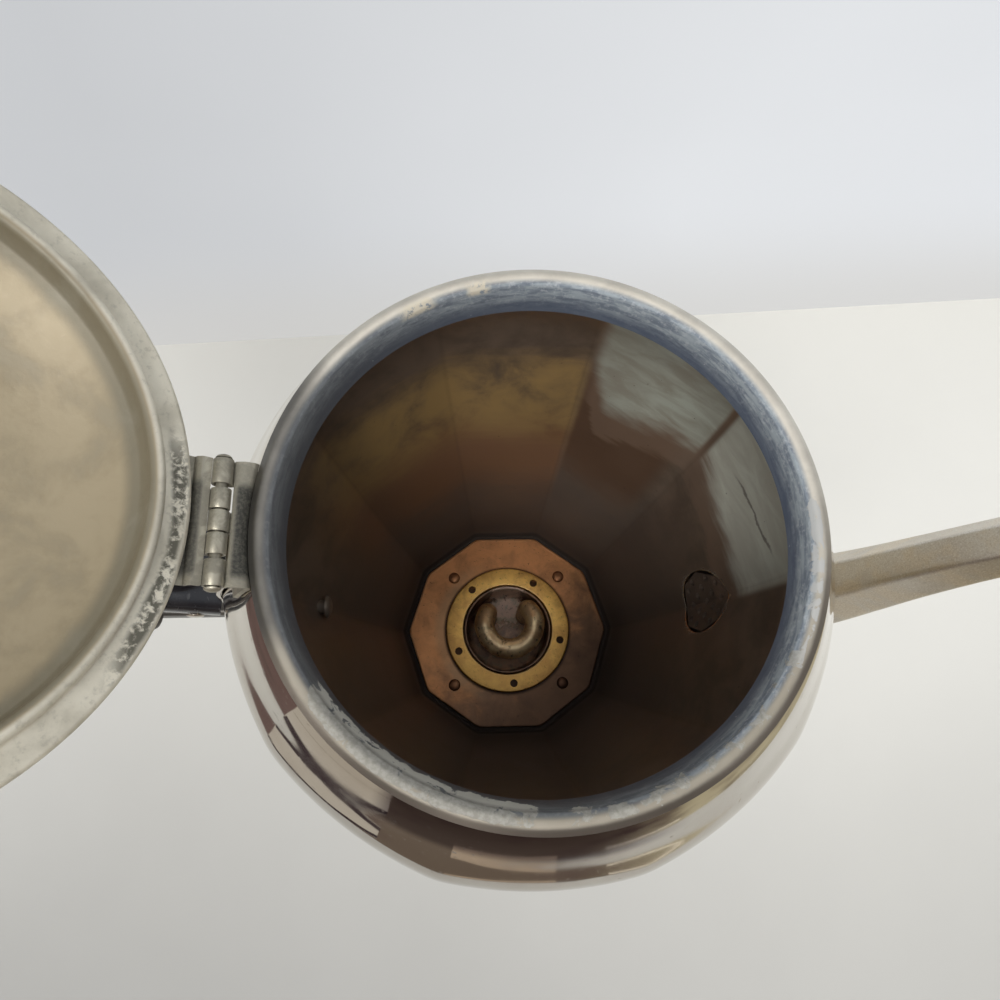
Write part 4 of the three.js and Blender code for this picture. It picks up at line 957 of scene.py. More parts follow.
rivet_head = dome_outline(rivet_head_radius, rivet_head_rise, rivet_radius, rivet_length)
rivets = []
for turn in np.radians([45, 135, 225, 315]):
    at = np.array([rivet_circle * math.cos(turn), rivet_circle * math.sin(turn), floor_height + gap / 3])
    rivets.append(surface("rivet", turned(rivet_head, 40) + at))
nodes = [f"floor_rivet_{i}" for i in (1, 2, 3, 4)]
dressed(joined("floor_rivets", rivets), copper_floor, "pot", "copper", *nodes)


# Ring nut and gasket
# A flat brass nut with five holes for a pin spanner. It pulls the well's flange and a rubber gasket
# against the underside of the floor.

nut_radius = 24.7 * mm
nut_height = 2.2 * mm
nut_corner = 0.5 * mm
spanner_count, spanner_first = 5, -12.7
spanner_circle, spanner_radius = 21.4 * mm, 1.5 * mm

nut_brass, shader, place = new_material("nut_brass", Metallic=1.0)
radius = axis_polar(place)[0]
cloudy = noise(place, 160.0, 6.0, 0.62, 0.4)
colour = blend(ramp(cloudy, 0.34, 0.62), (0.62, 0.34, 0.105), (0.92, 0.56, 0.16))
dull = blotched(place, 70.0, 0.52, 0.1)
colour = blend(dull * 0.35, colour, (0.50, 0.235, 0.08))
# Painted shade: the nut is painted darker on its near side
near_side = ramp(split(place)[1], 6 * mm, -22 * mm)
colour = blend(near_side * 0.45, colour, (0.40, 0.23, 0.08))
bright = ramp(radius, nut_bore_radius + 0.9 * mm, nut_bore_radius + 0.2 * mm) * 0.5
colour = blend(bright, colour, (0.75, 0.55, 0.27))
specks = blotched(place, 1000.0, 0.64, 0.05)
colour = blend(specks * 0.5, colour, (0.08, 0.05, 0.03))
turning = noise(output("ShaderNodeCombineXYZ", {0: radius * 9000.0}), 1.0, 2.0)
relief = cloudy + turning * 0.12
feed(
    shader,
    Base_Color=colour,
    Roughness=between(cloudy, 0.31, 0.48),
    Normal=bump(relief, 0.35, 0.25 * mm),
)
nut_top = floor_height + nut_height
nut_outline = np.vstack([
    [(nut_bore_radius, floor_height), (nut_radius, floor_height)],
    arc((nut_radius - nut_corner, nut_top - nut_corner), nut_corner, 0, 90, 6),
    arc((nut_bore_radius + nut_corner, nut_top - nut_corner), nut_corner, 90, 180, 6),
])
nut = surface("ring_nut_brass", turned(nut_outline, 180), closed_rows=True)
rod = np.array([(spanner_radius, floor_height - 4 * mm), (spanner_radius, nut_top + 4 * mm)])
for turn in np.radians(spanner_first + np.arange(spanner_count) * 360 / spanner_count):
    at = np.array([spanner_circle * math.cos(turn), spanner_circle * math.sin(turn), 0])
    booled(nut, surface("spanner_hole", turned(rod, 32) + at))
dressed(nut, nut_brass, "pot", "brass", "ring_nut")

rubber, shader, place = new_material("black_rubber", Roughness=0.7)
dust = noise(place, 700.0, 5.0, 0.6)
feed(
    shader,
    Base_Color=blend(ramp(dust, 0.4, 0.75), (0.018, 0.018, 0.018), (0.06, 0.057, 0.052)),
    Roughness=between(dust, 0.6, 0.85),
    Normal=bump(dust, 0.3, 0.1 * mm),
)
repaint("well_gasket", rubber)


# Heater well and glands
# A drawn copper cup whose neck stands up through the floor. Hard water has left pale scale and a
# little green verdigris in it, and a brass gland seals each leg of the heater under it.

well_sheet = 1 * mm
near_axis = 0.05 * mm
neck_radius = nut_bore_radius - gap
well_inner = neck_radius - well_sheet
well_fillet = 3 * mm
well_flange_radius = 23.6 * mm
well_flange_top = floor_under - 1.2 * mm
tube_radius = 3.95 * mm
loop_radius = 9.9 * mm
loop_centre = np.array([0.6, 1.6]) * mm
leg_angles = (150, 38)
leg_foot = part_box("heater_loop")[0].z
well_floor = leg_foot + 8.5 * mm
well_top = nut_top - gap
scale_pale = (0.70, 0.58, 0.44)
verdigris = (0.27, 0.30, 0.20)


def leg_place(degrees):
    """Place on the loop's circle, at which a leg stands."""
    turn = math.radians(degrees)
    return loop_centre + loop_radius * np.array([math.cos(turn), math.sin(turn)])


well_copper, shader, place = new_material("well_copper_scale")
x, y, height = split(place)
cloudy = noise(place, 220.0, 6.0, 0.62, 0.4)
colour = blend(ramp(cloudy, 0.35, 0.6), (0.20, 0.13, 0.10), (0.40, 0.25, 0.16))
far = ramp(y, -4 * mm, 9 * mm)
cover = 0.3 + far * ramp(abs(x), 9 * mm, 4 * mm) * 0.7
scale, scale_height = crusted(place, 520.0, cover)
colour = blend(scale * 0.85, colour, (0.95, 0.74, 0.60))
green = blotched(place, 260.0, 0.56, 0.07)
green *= ramp(height, well_floor + 6 * mm, well_floor + 1 * mm)
colour = blend(green * 0.45, colour, verdigris)
dry = maths("MAXIMUM", scale, green)
feed(
    shader,
    Base_Color=colour,
    Metallic=between(dry, 0.6, 0.5),
    Roughness=between(dry, 0.38, 0.6),
    Normal=bump(scale_height + cloudy * 0.3, 0.4, 0.4 * mm),
)
well_outline = np.vstack([
    [(near_axis, well_floor - well_sheet)],
    arc((neck_radius - well_fillet, well_floor + well_fillet - well_sheet), well_fillet, -90, 0, 8),
    [(neck_radius, well_flange_top - well_sheet), (well_flange_radius, well_flange_top - well_sheet)],
    [(well_flange_radius, well_flange_top), (neck_radius, well_flange_top)],
    arc((neck_radius - well_sheet / 2, well_top - well_sheet / 2), well_sheet / 2, 0, 180, 8),
    arc((well_inner - well_fillet, well_floor + well_fillet), well_fillet, 0, -90, 8),
    [(near_axis, well_floor)],
])
well = surface("well_cup", turned(well_outline, 144), closed_rows=True)
rod = np.array([(tube_radius + gap, well_floor - 6 * mm), (tube_radius + gap, well_floor + 2 * mm)])
for degrees in leg_angles:
    booled(well, surface("leg_hole", turned(rod, 40) + np.r_[leg_place(degrees), 0]))
dressed(well, well_copper, "pot", "copper", "heater_well")
for node in ("heater_gland_1", "heater_gland_2", "terminal_tag_1", "terminal_tag_2"):
    repaint(node, nut_brass)


# Heater loop and its studs
# A tubular heater bent to a horseshoe that lies level in the pot. Its copper sheath has gone to a
# glossy golden brown, with grey scale on its crown.

loop_height = floor_height + 6.5 * mm
leg_bend = 4.5 * mm


def tube_grid(path, centre, radius, sides):
    """Grid of rings square to a path: each ring lies in the plane of the direction out from an upright
    axis and the direction square to that and to the path."""
    forward = np.gradient(path, axis=0)
    forward /= np.linalg.norm(forward, axis=1)[:, None]
    outward = path - np.r_[centre, 0]
    outward[:, 2] = 0
    outward -= forward * (outward * forward).sum(1)[:, None]
    outward /= np.linalg.norm(outward, axis=1)[:, None]
    square = np.cross(forward, outward)
    turns = (np.arange(sides) * 2 * np.pi / sides)[:, None]
    across = outward[:, None] * np.cos(turns) + square[:, None] * np.sin(turns)
    return path[:, None, :] + across * radius


bend_turn = math.degrees(leg_bend / loop_radius)
first, last = leg_angles
angles = np.linspace(first + bend_turn, last + 360 - bend_turn, 11)
level = [np.r_[leg_place(a), loop_height] for a in angles]
up_leg = [np.r_[leg_place(first), h] for h in (leg_foot, well_floor, loop_height - leg_bend)]
down_leg = [np.r_[leg_place(last), h] for h in (loop_height - leg_bend, well_floor, leg_foot)]
loop_path = spline([*up_leg, *level, *down_leg], 220)

sheath, shader, place = new_material("heater_sheath")
_, y, z = split(place)
cloudy = noise(place, 190.0, 6.0, 0.6, 0.6)
colour = blend(ramp(cloudy, 0.36, 0.62), (0.72, 0.49, 0.27), (1.0, 0.78, 0.46))
dark = blotched(place, 420.0, 0.60, 0.05)
colour = blend(dark * 0.65, colour, (0.07, 0.048, 0.03))
crown = ramp(z, loop_height - 1 * mm, loop_height + 3.6 * mm)
far = ramp(y, -2 * mm, 8 * mm)
cover = 0.12 + crown * far * 0.42
scale, scale_height = crusted(place, 620.0, cover)
colour = blend(scale * 0.6, colour, scale_pale)
feed(
    shader,
    Base_Color=colour,
    Roughness=between(scale, between(cloudy, 0.32, 0.46), 0.7),
    Metallic=between(scale, 0.75, 0.4),
    Normal=bump(scale_height + cloudy * 0.4, 0.5, 0.3 * mm),
)
loop = surface("heater_tube", tube_grid(loop_path, loop_centre, tube_radius, 40))
dressed(loop, sheath, "pot", "heater_sheath", "heater_loop")

zinc, shader, place = new_material("zinc_steel", Metallic=1.0)
spangle = noise(place, 260.0, 3.0, 0.5)
rust = blotched(place, 330.0, 0.62, 0.06)
colour = blend(ramp(spangle, 0.4, 0.6), (0.40, 0.405, 0.41), (0.56, 0.56, 0.55))
lines = scratched(place, 110.0, 0.8)
feed(
    shader,
    Base_Color=blend(rust * 0.5, colour, (0.22, 0.12, 0.07)),
    Roughness=between(maths("MAXIMUM", rust, lines), between(spangle, 0.3, 0.42), 0.6),
    Normal=bump(spangle - lines, 0.2, 0.1 * mm),
)
for node in ("heater_stud_1", "heater_stud_2", "plate_post_1", "plate_post_2"):
    repaint(node, zinc)


# Base skirt
# Nickel-plated sheet that flares from under the pot's decagon out to a round foot.
# A window in its back wall lets the power inlet through.

skirt_sheet = 1 * mm
skirt_flange_radius = 26.5 * mm
skirt_top_radius = heel_radius - heel_fillet
foot_radius, foot_width, foot_band = 52 * mm, 4.2 * mm, 3.2 * mm
flare_shares = [(0.62, 0.3), (0.16, 0.65)]
inlet_wide, inlet_tall, inlet_height = 32 * mm, 15 * mm, 14.5 * mm
inlet_reach, inlet_sheet = 62 * mm, 1.2 * mm
inlet_inner_wide, inlet_inner_tall = inlet_wide - 2 * inlet_sheet, inlet_tall - 2 * inlet_sheet


def skirt_flat_share(height):
    """How flat the skirt's panels are: none at the foot's band, all under the pot."""
    w = np.clip((height - foot_band) / (heel_under - foot_band), 0, 1)
    return w * w * (3 - 2 * w)


def rounded(wide, tall, corner, steps=8):
    """Rectangle with round corners, as widths and heights round its middle."""
    x, y = wide / 2 - corner, tall / 2 - corner
    corners = [((x, y), 0), ((-x, y), 90), ((-x, -y), 180), ((x, -y), 270)]
    return np.vstack([arc(centre, corner, turn, turn + 90, steps) for centre, turn in corners])


skirt_middle = [(lerp(skirt_top_radius, foot_radius, out), heel_under * up) for out, up in flare_shares]
flare = spline([(foot_radius, foot_band), *skirt_middle, (skirt_top_radius, heel_under)], 40)
skirt_line = np.vstack([
    [(foot_radius - foot_width, 0)],
    arc((foot_radius - foot_band / 2, foot_band / 2), foot_band / 2, -90, 0, 8),
    flare,
    [(skirt_flange_radius, heel_under)],
])
skirt_outline = np.vstack([skirt_line, offset_left(skirt_line, skirt_sheet)[::-1]])

base_nickel, shader, place = new_material("base_nickel", Metallic=1.0)
colour, rough, relief = nickel_finish(place, 0.8)
grime = ramp(split(place)[2], 6 * mm, 0.5 * mm) * noise(place, 200.0, 5.0)
colour = blend(grime, colour, (0.20, 0.17, 0.13))
feed(
    shader,
    Base_Color=colour,
    Roughness=rough + grime * 0.15,
    Normal=bump(relief, 0.25, 0.25 * mm),
)
skirt = surface("skirt_flare", turned(skirt_outline, 300, skirt_flat_share), closed_rows=True, sharp=50)
inlet_section = rounded(inlet_inner_wide, inlet_inner_tall, inlet_inner_tall / 4)
booled(skirt, surface("inlet_window", along_x(inlet_section, -60 * mm, 0, inlet_height)), sharp=50)
dressed(skirt, base_nickel, "pot", "nickel", "base_skirt")


# Bottom plate and screws
# A pressed steel pan that closes the base, with a dimple for the head of each of its two screws.

pan_sheet, pan_recess, pan_lip = 1 * mm, 1.5 * mm, 3 * mm
pan_radius = foot_radius - foot_width - gap
post_circle = 33 * mm
screw_head_radius, screw_head_height = 2.9 * mm, 1 * mm
screw_radius, screw_length = 1.3 * mm, 9 * mm
screw_axis = 0.02 * mm
slot_wide, slot_reach = 0.8 * mm, 4 * mm
dimple_radius, dimple_rise = screw_head_radius + gap, screw_head_height + 2 * gap


def pan_grid(radii, heights, columns):
    """Grid of points round the Z axis, each raised by the dimples: a smooth step down from the rise, from
    the dimple's radius out to the radius plus half the rise."""
    angles = np.arange(columns) * 2 * np.pi / columns
    x, y = radii[:, None] * np.cos(angles), radii[:, None] * np.sin(angles)
    near = np.minimum(np.hypot(x, y - post_circle), np.hypot(x, y + post_circle))
    w = np.clip((near - dimple_radius) / (dimple_rise / 2), 0, 1)
    return np.stack([x, y, heights[:, None] + dimple_rise * (1 - w * w * (3 - 2 * w))], axis=2)


across = np.r_[
    near_axis, np.linspace(4 * mm, post_circle - 6 * mm, 8),
    np.linspace(post_circle - 5 * mm, post_circle + 5 * mm, 26), np.linspace(40 * mm, pan_radius, 5),
]
pan_radii = np.r_[across, pan_radius, pan_radius - pan_sheet, pan_radius - pan_sheet, across[-2::-1]]
pan_top = pan_recess + pan_sheet
pan_heights = np.r_[
    np.full(len(across), pan_recess), pan_top + pan_lip, pan_top + pan_lip, np.full(len(across), pan_top),
]
pan = surface("bottom_pan", pan_grid(pan_radii, pan_heights, 300), closed_rows=True)
dressed(pan, zinc, "pot", "steel", "bottom_plate")

screw_outline = np.vstack([
    [(screw_axis, 0), (screw_head_radius - gap, 0)],
    arc((screw_head_radius - gap, gap), gap, -90, 0, 5),
    [(screw_head_radius, screw_head_height), (screw_radius, screw_head_height)],
    [(screw_radius, screw_length - gap), (screw_radius - gap, screw_length), (screw_axis, screw_length)],
])
slot_section = np.array([
    (-slot_reach, -slot_reach / 2), (slot_reach, -slot_reach / 2),
    (slot_reach, screw_head_height / 2), (-slot_reach, screw_head_height / 2),
])
for number, side in ((1, 1), (2, -1)):
    at = np.array([0, side * post_circle, pan_recess + gap])
    screw = surface("screw", turned(screw_outline, 48) + at)
    slot = along_x(slot_section, -slot_wide / 2, slot_wide / 2, 0) + at
    booled(screw, surface("slot", slot))
    screw.name = f"pan_screw_{number}"
    dressed(screw, zinc, "pot", "steel", f"plate_screw_{number}")


# Power inlet
# A nickel-plated sleeve under the handle with a ceramic block in it, and two brass pins for the plug.
# The leads, the thermal fuse and the tags lie inside the base.

block_depth, pin_pitch = 5 * mm, 17.5 * mm
plug_pin_radius, plug_pin_reach = 2.4 * mm, 12 * mm
tail_radius, tail_length = 1.4 * mm, 4 * mm
sleeve_gap = 0.1 * mm
lip = inlet_sheet / 2

skirt_space = offset_left(skirt_line[1:-1], -sleeve_gap)
skirt_block = surface("skirt_block", turned(skirt_space, 300, skirt_flat_share))


def sleeve_row(inset, x):
    """Ring of the inlet's section, drawn in by an inset, at one place along X."""
    wide, tall = inlet_wide - 2 * inset, inlet_tall - 2 * inset
    section = rounded(wide, tall, inlet_tall / 4 - inset / 2)
    return np.column_stack([np.full(len(section), x), section[:, 0], section[:, 1] + inlet_height])


sleeve_rows = [
    sleeve_row(lip - lip * math.cos(turn), lip - lip * math.sin(turn) - inlet_reach)
    for turn in np.radians(range(0, 181, 30))
]
sleeve_end = -skirt_flange_radius - 4 * mm
sleeve_rows += [sleeve_row(inlet_sheet, sleeve_end), sleeve_row(0, sleeve_end)]
sleeve = surface("inlet_sleeve", np.stack(sleeve_rows), closed_rows=True)
booled(sleeve, skirt_block)
dressed(sleeve, base_nickel, "pot", "nickel", "inlet_shroud")

ceramic, shader, place = new_material("ceramic", Specular_IOR_Level=0.5)
grain = noise(place, 900.0, 5.0, 0.6)
brown = blotched(place, 180.0, 0.56, 0.1)
feed(
    shader,
    Base_Color=blend(brown * 0.5, (0.74, 0.71, 0.63), (0.42, 0.35, 0.26)),
    Roughness=between(grain, 0.4, 0.65),
    Normal=bump(grain, 0.25, 0.1 * mm),
)
repaint("inlet_block", ceramic)
repaint("thermal_fuse", ceramic)
for node in ("lead_near", "lead_fuse", "lead_far"):
    repaint(node, rubber)


def laid_along_x(grid, at):
    """The grid's own Z axis laid along X, its X axis along Z."""
    return np.stack([grid[..., 2], -grid[..., 1], grid[..., 0]], axis=2) + at


def laid_along_y(grid, at):
    """The grid's own Z axis laid along Y, its X axis along X."""
    return np.stack([grid[..., 0], grid[..., 2], -grid[..., 1]], axis=2) + at


block_face = foot_radius - block_depth
pin_length = plug_pin_reach + block_depth
pin_outline = np.vstack([
    [(screw_axis, 0)],
    arc((plug_pin_radius / 2, plug_pin_radius / 2), plug_pin_radius / 2, -90, 0, 7),
    [(plug_pin_radius, pin_length), (tail_radius, pin_length)],
    [(tail_radius, pin_length + tail_length), (screw_axis, pin_length + tail_length)],
])
for number, side in ((1, -1), (2, 1)):
    at = np.array([-block_face - plug_pin_reach, side * pin_pitch / 2, inlet_height])
    pin = surface(f"plug_pin_brass_{number}", laid_along_x(turned(pin_outline, 48), at))
    dressed(pin, nut_brass, "pot", "brass", f"plug_pin_{number}")


# Spout
# A six-sided tube of the same plated sheet, soldered over the strainer. It sweeps up and out, and
# narrows to a mouth cut level just under the rim.

spout_sheet = 1 * mm
spout_root_reach, spout_reach = 48 * mm, 122 * mm
spout_tip_depth = 7 * mm
spout_wide, spout_tall = 30 * mm, 32 * mm
spout_corner_power = 34
spout_rows = 150
spout_bite, spout_cut = 0.4 * mm, 60 * mm
spout_path_shares = [
    (0, 0), (0.32, 0.045), (0.52, 0.13), (0.62, 0.225), (0.69, 0.385), (0.76, 0.58), (0.855, 0.79), (1, 1),
    (1.07, 1.1),
]
spout_tall_shares = [1, 0.93, 0.76, 0.62, 0.54, 0.47, 0.42, 0.4]
spout_wide_shares = [1, 0.9, 0.78, 0.66, 0.56, 0.49, 0.45, 0.43]


def shares_along(table, count):
    """Values of an evenly spaced table, joined by cubics."""
    return cubic(np.asarray(table, float), np.linspace(0, len(table) - 1, count))


def along_path(path, section, half_thick, half_wide):
    """Grid of rings square to a path of X and Z places: the section's first shares times the half
    thickness lie across the path in its plane, its second times the half width along Y."""
    forward = np.gradient(path, axis=0)
    forward /= np.linalg.norm(forward, axis=1)[:, None]
    rise = section[:, 0] * half_thick[:, None]
    x, z = path[:, :1] - forward[:, 1:] * rise, path[:, 1:] + forward[:, :1] * rise
    return np.stack([x, section[:, 1] * half_wide[:, None], z], axis=2)


def hexagon(power, count=96):
    """Soft-cornered hexagon with a flat at each side of its first axis: one over the power mean of the
    cosines to its six flats, with the second axis drawn in so that both reach 1."""
    turns = np.arange(count) * 2 * np.pi / count
    flats = np.arange(6) * np.pi / 3
    cosines = np.maximum(np.cos(turns[:, None] - flats[None, :]), 0)
    reach = 1 / (cosines**power).sum(1) ** (1 / power)
    return np.column_stack([reach * np.cos(turns), reach * np.sin(turns) * math.cos(math.pi / 6)])


spout_low, spout_high = spout_root_height, rim_height - spout_tip_depth
spout_points = [
    (lerp(spout_root_reach, spout_reach, out), lerp(spout_low, spout_high, rise))
    for out, rise in spout_path_shares
]
spout_path = spline(spout_points, spout_rows)
half_tall = spout_tall / 2 * shares_along(spout_tall_shares, spout_rows)
half_wide = spout_wide / 2 * shares_along(spout_wide_shares, spout_rows)
six = hexagon(spout_corner_power)
outside = along_path(spout_path, six, half_tall, half_wide)
inside = along_path(spout_path, six, half_tall - spout_sheet, half_wide - spout_sheet)
spout = surface(
    "spout_tube", np.concatenate([outside, inside[::-1]]), closed_rows=True, sharp=60,
    attributes={"lining": np.r_[np.zeros(spout_rows), np.ones(spout_rows)]},
)
pot_block = surface("pot_block", turned(offset_left(pot_face(), spout_bite), wall_columns, pot_flat_share))
booled(spout, pot_block, sharp=60)
square = np.array([(-1, 0), (1, 0), (1, 1), (-1, 1)]) * spout_cut
booled(spout, surface("mouth_cutter", along_x(square, 40 * mm, 3 * spout_cut, spout_high)), sharp=60)
dressed(spout, pot_metal, "pot", "nickel", "spout")


# Handle grip
# Moulded black phenolic with a deep gloss, thickest where the palm goes, pinned to two brackets.

handle_wide, handle_thick = 21 * mm, 14 * mm
handle_root_depth, handle_reach, handle_drop = 46 * mm, 50 * mm, 58 * mm
strap_sheet = 1.2 * mm
grip_power = 2.6
handle_path_shares = [
    (0, 0), (0.2, 0.06), (0.47, 0.13), (0.78, 0.07), (0.97, -0.16), (1, -0.42), (0.99, -0.64), (0.92, -0.82),
    (0.8, -0.95),
]
handle_wide_shares = [1, 0.96, 0.97, 1, 1, 0.95, 0.82, 0.66, 0.52]
handle_thick_shares = [0.9, 0.86, 0.9, 1, 1.02, 0.98, 0.88, 0.76, 0.66]
grip_rows = 120


def round_section(power, count=64):
    """Unit section with round corners: cosine and sine to the power 2 over the given power, signs kept."""
    turns = np.arange(count) * 2 * np.pi / count
    c, s = np.cos(turns), np.sin(turns)
    return np.column_stack([np.sign(c) * np.abs(c) ** (2 / power), np.sign(s) * np.abs(s) ** (2 / power)])


handle_root = belly_radius + gap + strap_sheet + gap
handle_root_height = rim_height - handle_root_depth
handle_points = [
    (-handle_root - handle_reach * out, handle_root_height + handle_drop * rise)
    for out, rise in handle_path_shares
]
handle_path = spline(handle_points, grip_rows)
half_thick = handle_thick / 2 * shares_along(handle_thick_shares, grip_rows)
half_wide = handle_wide / 2 * shares_along(handle_wide_shares, grip_rows)
handle_end = handle_path[-1]

phenolic, shader, place = new_material(
    "black_phenolic", Specular_IOR_Level=0.5, Coat_Weight=0.3, Coat_Roughness=0.06
)
lines = scratched(place, 80.0, 0.9)
worn = blotched(place, 60.0, 0.54, 0.14)
dust = blotched(place, 1400.0, 0.68, 0.03)
colour = blend(worn * 0.6, (0.012, 0.013, 0.017), (0.026, 0.024, 0.026))
colour = blend(maths("MAXIMUM", lines, dust) * 0.35, colour, (0.11, 0.105, 0.10))
ripple = noise(place, 90.0, 3.0)
feed(
    shader,
    Base_Color=colour,
    Roughness=between(worn, 0.1, 0.22) + lines * 0.25,
    Normal=bump(ripple - lines * 0.1, 0.15, 0.3 * mm),
)
swell = np.ones(grip_rows)
swell[-1], swell[-2], swell[-3] = 0.82, 0.93, 0.985
section = round_section(grip_power)
grip = surface("grip", along_path(handle_path, section, half_thick * swell, half_wide * swell))
strap_space = offset_left(pot_face(), -(2 * gap + strap_sheet))
booled(grip, surface("strap_space", turned(strap_space, wall_columns, pot_flat_share)))
dressed(grip, phenolic, "pot", "black_phenolic", "handle_grip")


# Handle brackets, pins and lug rivet
# A strap that hugs the shoulder above, and below it a riveted lug whose slim arm ends in a cup round
# the grip. Both are plated sheet, and each is held to the grip by a cross pin.

strap_wide, strap_top_depth, strap_foot_depth = 17 * mm, 16 * mm, 58 * mm
lug_tall, lug_wide = 20 * mm, 15 * mm
arm_tall, arm_wide, arm_corner = 7 * mm, 5 * mm, 1.6 * mm
cup_sheet = 1.1 * mm
pin_radius, pin_rise = 1.2 * mm, 0.5 * mm
tongue_deep, tongue_tall, tongue_thick, tongue_corner = 12 * mm, 7 * mm, 5 * mm, 0.8 * mm
lug_rivet_head, lug_rivet_rise = 3.6 * mm, 1.9 * mm
lug_rivet_radius, lug_rivet_length = 2.2 * mm, 10 * mm


def pot_line_at(heights):
    """Corner radius of the pot's outer face at each height."""
    line = pot_face(400)
    return np.interp(heights, line[:, 1], line[:, 0])


def saddle_grid(top, foot, wide, sheet_thick, rows=60, around=48):
    """Grid of rings round a plate that hugs the pot on the handle's side: each ring is a flat
    super-ellipse of power 8, with its width along Y and its thickness out from the pot's face. The
    plate narrows to its ends as a super-ellipse of power 5."""
    share = np.sin(np.linspace(-np.pi / 2, np.pi / 2, rows) * 0.97)
    height = lerp(foot, top, (share + 1) / 2)[:, None]
    half = wide / 2 * (1 - np.abs(share) ** 5)[:, None] ** (1 / 5)
    section = round_section(8, around)
    y = half * section[:, 1]
    away = gap + sheet_thick / 2 * (1 + section[:, 0] * np.minimum(1, half / (2 * mm)))
    radius = pot_line_at(height)
    flat = pot_flat_share(height)
    angle = np.pi - np.arcsin(y / radius)
    for _ in range(6):
        panels = panel_share((angle % (2 * np.pi)).ravel()).reshape(angle.shape)
        reach = radius * (1 + flat * (panels - 1)) + away
        angle = np.pi - np.arcsin(y / reach)
    slope = np.gradient(radius[:, 0], height[:, 0])[:, None]
    tilt = 1 / np.sqrt(1 + slope**2)
    rise = -slope * tilt * away
    return np.stack([reach * np.cos(angle), y, height + rise], axis=2)


def cross_pin(name, at, reach, node, material):
    """Pin along Y with a domed head at each end."""
    turns = np.radians(np.linspace(0, 88, 7))
    head = np.column_stack([1.7 * pin_radius * np.cos(turns), pin_rise * np.sin(turns)])
    half_line = np.vstack([[(pin_radius, 0), (pin_radius, reach - pin_rise)], head + [0, reach - pin_rise]])
    outline = np.vstack([(half_line * [1, -1])[::-1], half_line[1:]])
    made = surface(name, laid_along_y(turned(outline, 32), np.array([at[0], 0, at[1]])))
    return dressed(made, material, "pot", "nickel", node)


# Painted shade: the lower lug, its arm, cup and pin are painted near black all over, for the shade under the
# grip
lug_shade_metal, shader, place = new_material("lug_painted_shade")
_, rough, relief = nickel_finish(place, 0.9)
darker = noise(place, 150.0, 5.0, 0.6)
feed(
    shader,
    Base_Color=blend(ramp(darker, 0.3, 0.7), (0.045, 0.042, 0.04), (0.11, 0.10, 0.085)),
    Metallic=between(darker, 0.7, 0.4),
    Roughness=rough + 0.28,
    Normal=bump(relief, 0.25, 0.25 * mm),
)
strap = surface(
    "strap", saddle_grid(rim_height - strap_top_depth, rim_height - strap_foot_depth, strap_wide, strap_sheet)
)
root_x, root_height = handle_path[0]
tongue_section = rounded(tongue_thick, tongue_tall, tongue_corner)
tongue = surface(
    "tongue", along_x(tongue_section, root_x - tongue_deep, -belly_radius + 1 * mm, root_height)
)
dressed(joined("upper_strap", [strap, tongue]), base_nickel, "pot", "nickel", "handle_upper_bracket")

lug_height = handle_end[1]
lug_top, lug_foot = lug_height + lug_tall / 2, lug_height - lug_tall / 2
lug = surface("lug", saddle_grid(lug_top, lug_foot, lug_wide, strap_sheet))
arm_section = rounded(arm_wide, arm_tall, arm_corner)
arm = surface("arm", along_x(arm_section, handle_end[0], -pot_line_at(lug_height) - gap, lug_height))
cup_rows = 10
cup_path = handle_path[-cup_rows:]
cup_step = (cup_path[-1] - cup_path[-2]) / np.linalg.norm(cup_path[-1] - cup_path[-2])
cup_path = np.vstack([cup_path, cup_path[-1] + cup_step * (gap + cup_sheet)])
cup_thick = np.r_[half_thick[-cup_rows:], half_thick[-1]]
cup_wide = np.r_[half_wide[-cup_rows:], half_wide[-1]]
outer_cup = along_path(cup_path, section, cup_thick + gap + cup_sheet, cup_wide + gap + cup_sheet)
inner_cup = along_path(cup_path[:-1], section, cup_thick[:-1] + gap, cup_wide[:-1] + gap)
outer_end, inner_end = outer_cup[-1].mean(0), inner_cup[-1].mean(0)
closed_outer = np.stack([lerp(outer_cup[-1], outer_end, k) for k in (0.1, 0.5, 0.97)])
closed_inner = np.stack([lerp(inner_cup[-1], inner_end, k) for k in (0.97, 0.5, 0)])
cup = surface("cup", np.concatenate([closed_inner, inner_cup[-2::-1], outer_cup[:-1], closed_outer]))
dressed(joined("lower_lug", [lug, arm, cup]), lug_shade_metal, "pot", "nickel", "handle_lower_bracket")

cross_pin(
    "strap_pin", (root_x - tongue_deep / 2, root_height), half_wide[0] + pin_rise,
    "handle_upper_pin", base_nickel,
)
cross_pin(
    "cup_pin", lerp(handle_path[-6], handle_end, 0.5), half_wide[-1] + gap + cup_sheet + 2 * pin_rise,
    "handle_lower_pin", lug_shade_metal,
)

rivet_line = dome_outline(lug_rivet_head, lug_rivet_rise, lug_rivet_radius, lug_rivet_length, 20)
lug_rivet_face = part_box("lug_rivet")[1].x - lug_rivet_rise
at = np.array([lug_rivet_face, 0, lug_height])
rivet = surface("lug_rivet_dome", laid_along_x(turned(rivet_line, 48), at))
rivet_metal, shader, place = new_material("lug_rivet_stain", Metallic=0.45)
colour, rough, relief = stain_finish(place)
feed(
    shader,
    Base_Color=blend(0.6, colour, (0.34, 0.29, 0.235)),
    Roughness=rough + 0.05,
    Normal=bump(relief, 0.4, 0.25 * mm),
)
dressed(rivet, rivet_metal, "pot", "nickel", "lug_rivet")


# Hinge
# Two leaves of sheet rolled round one steel pin in five knuckles. The pot's leaf turns down behind the
# bead to a foot on the shoulder; the lid's leaf lies over the lid's hem. Both are dark with corrosion.

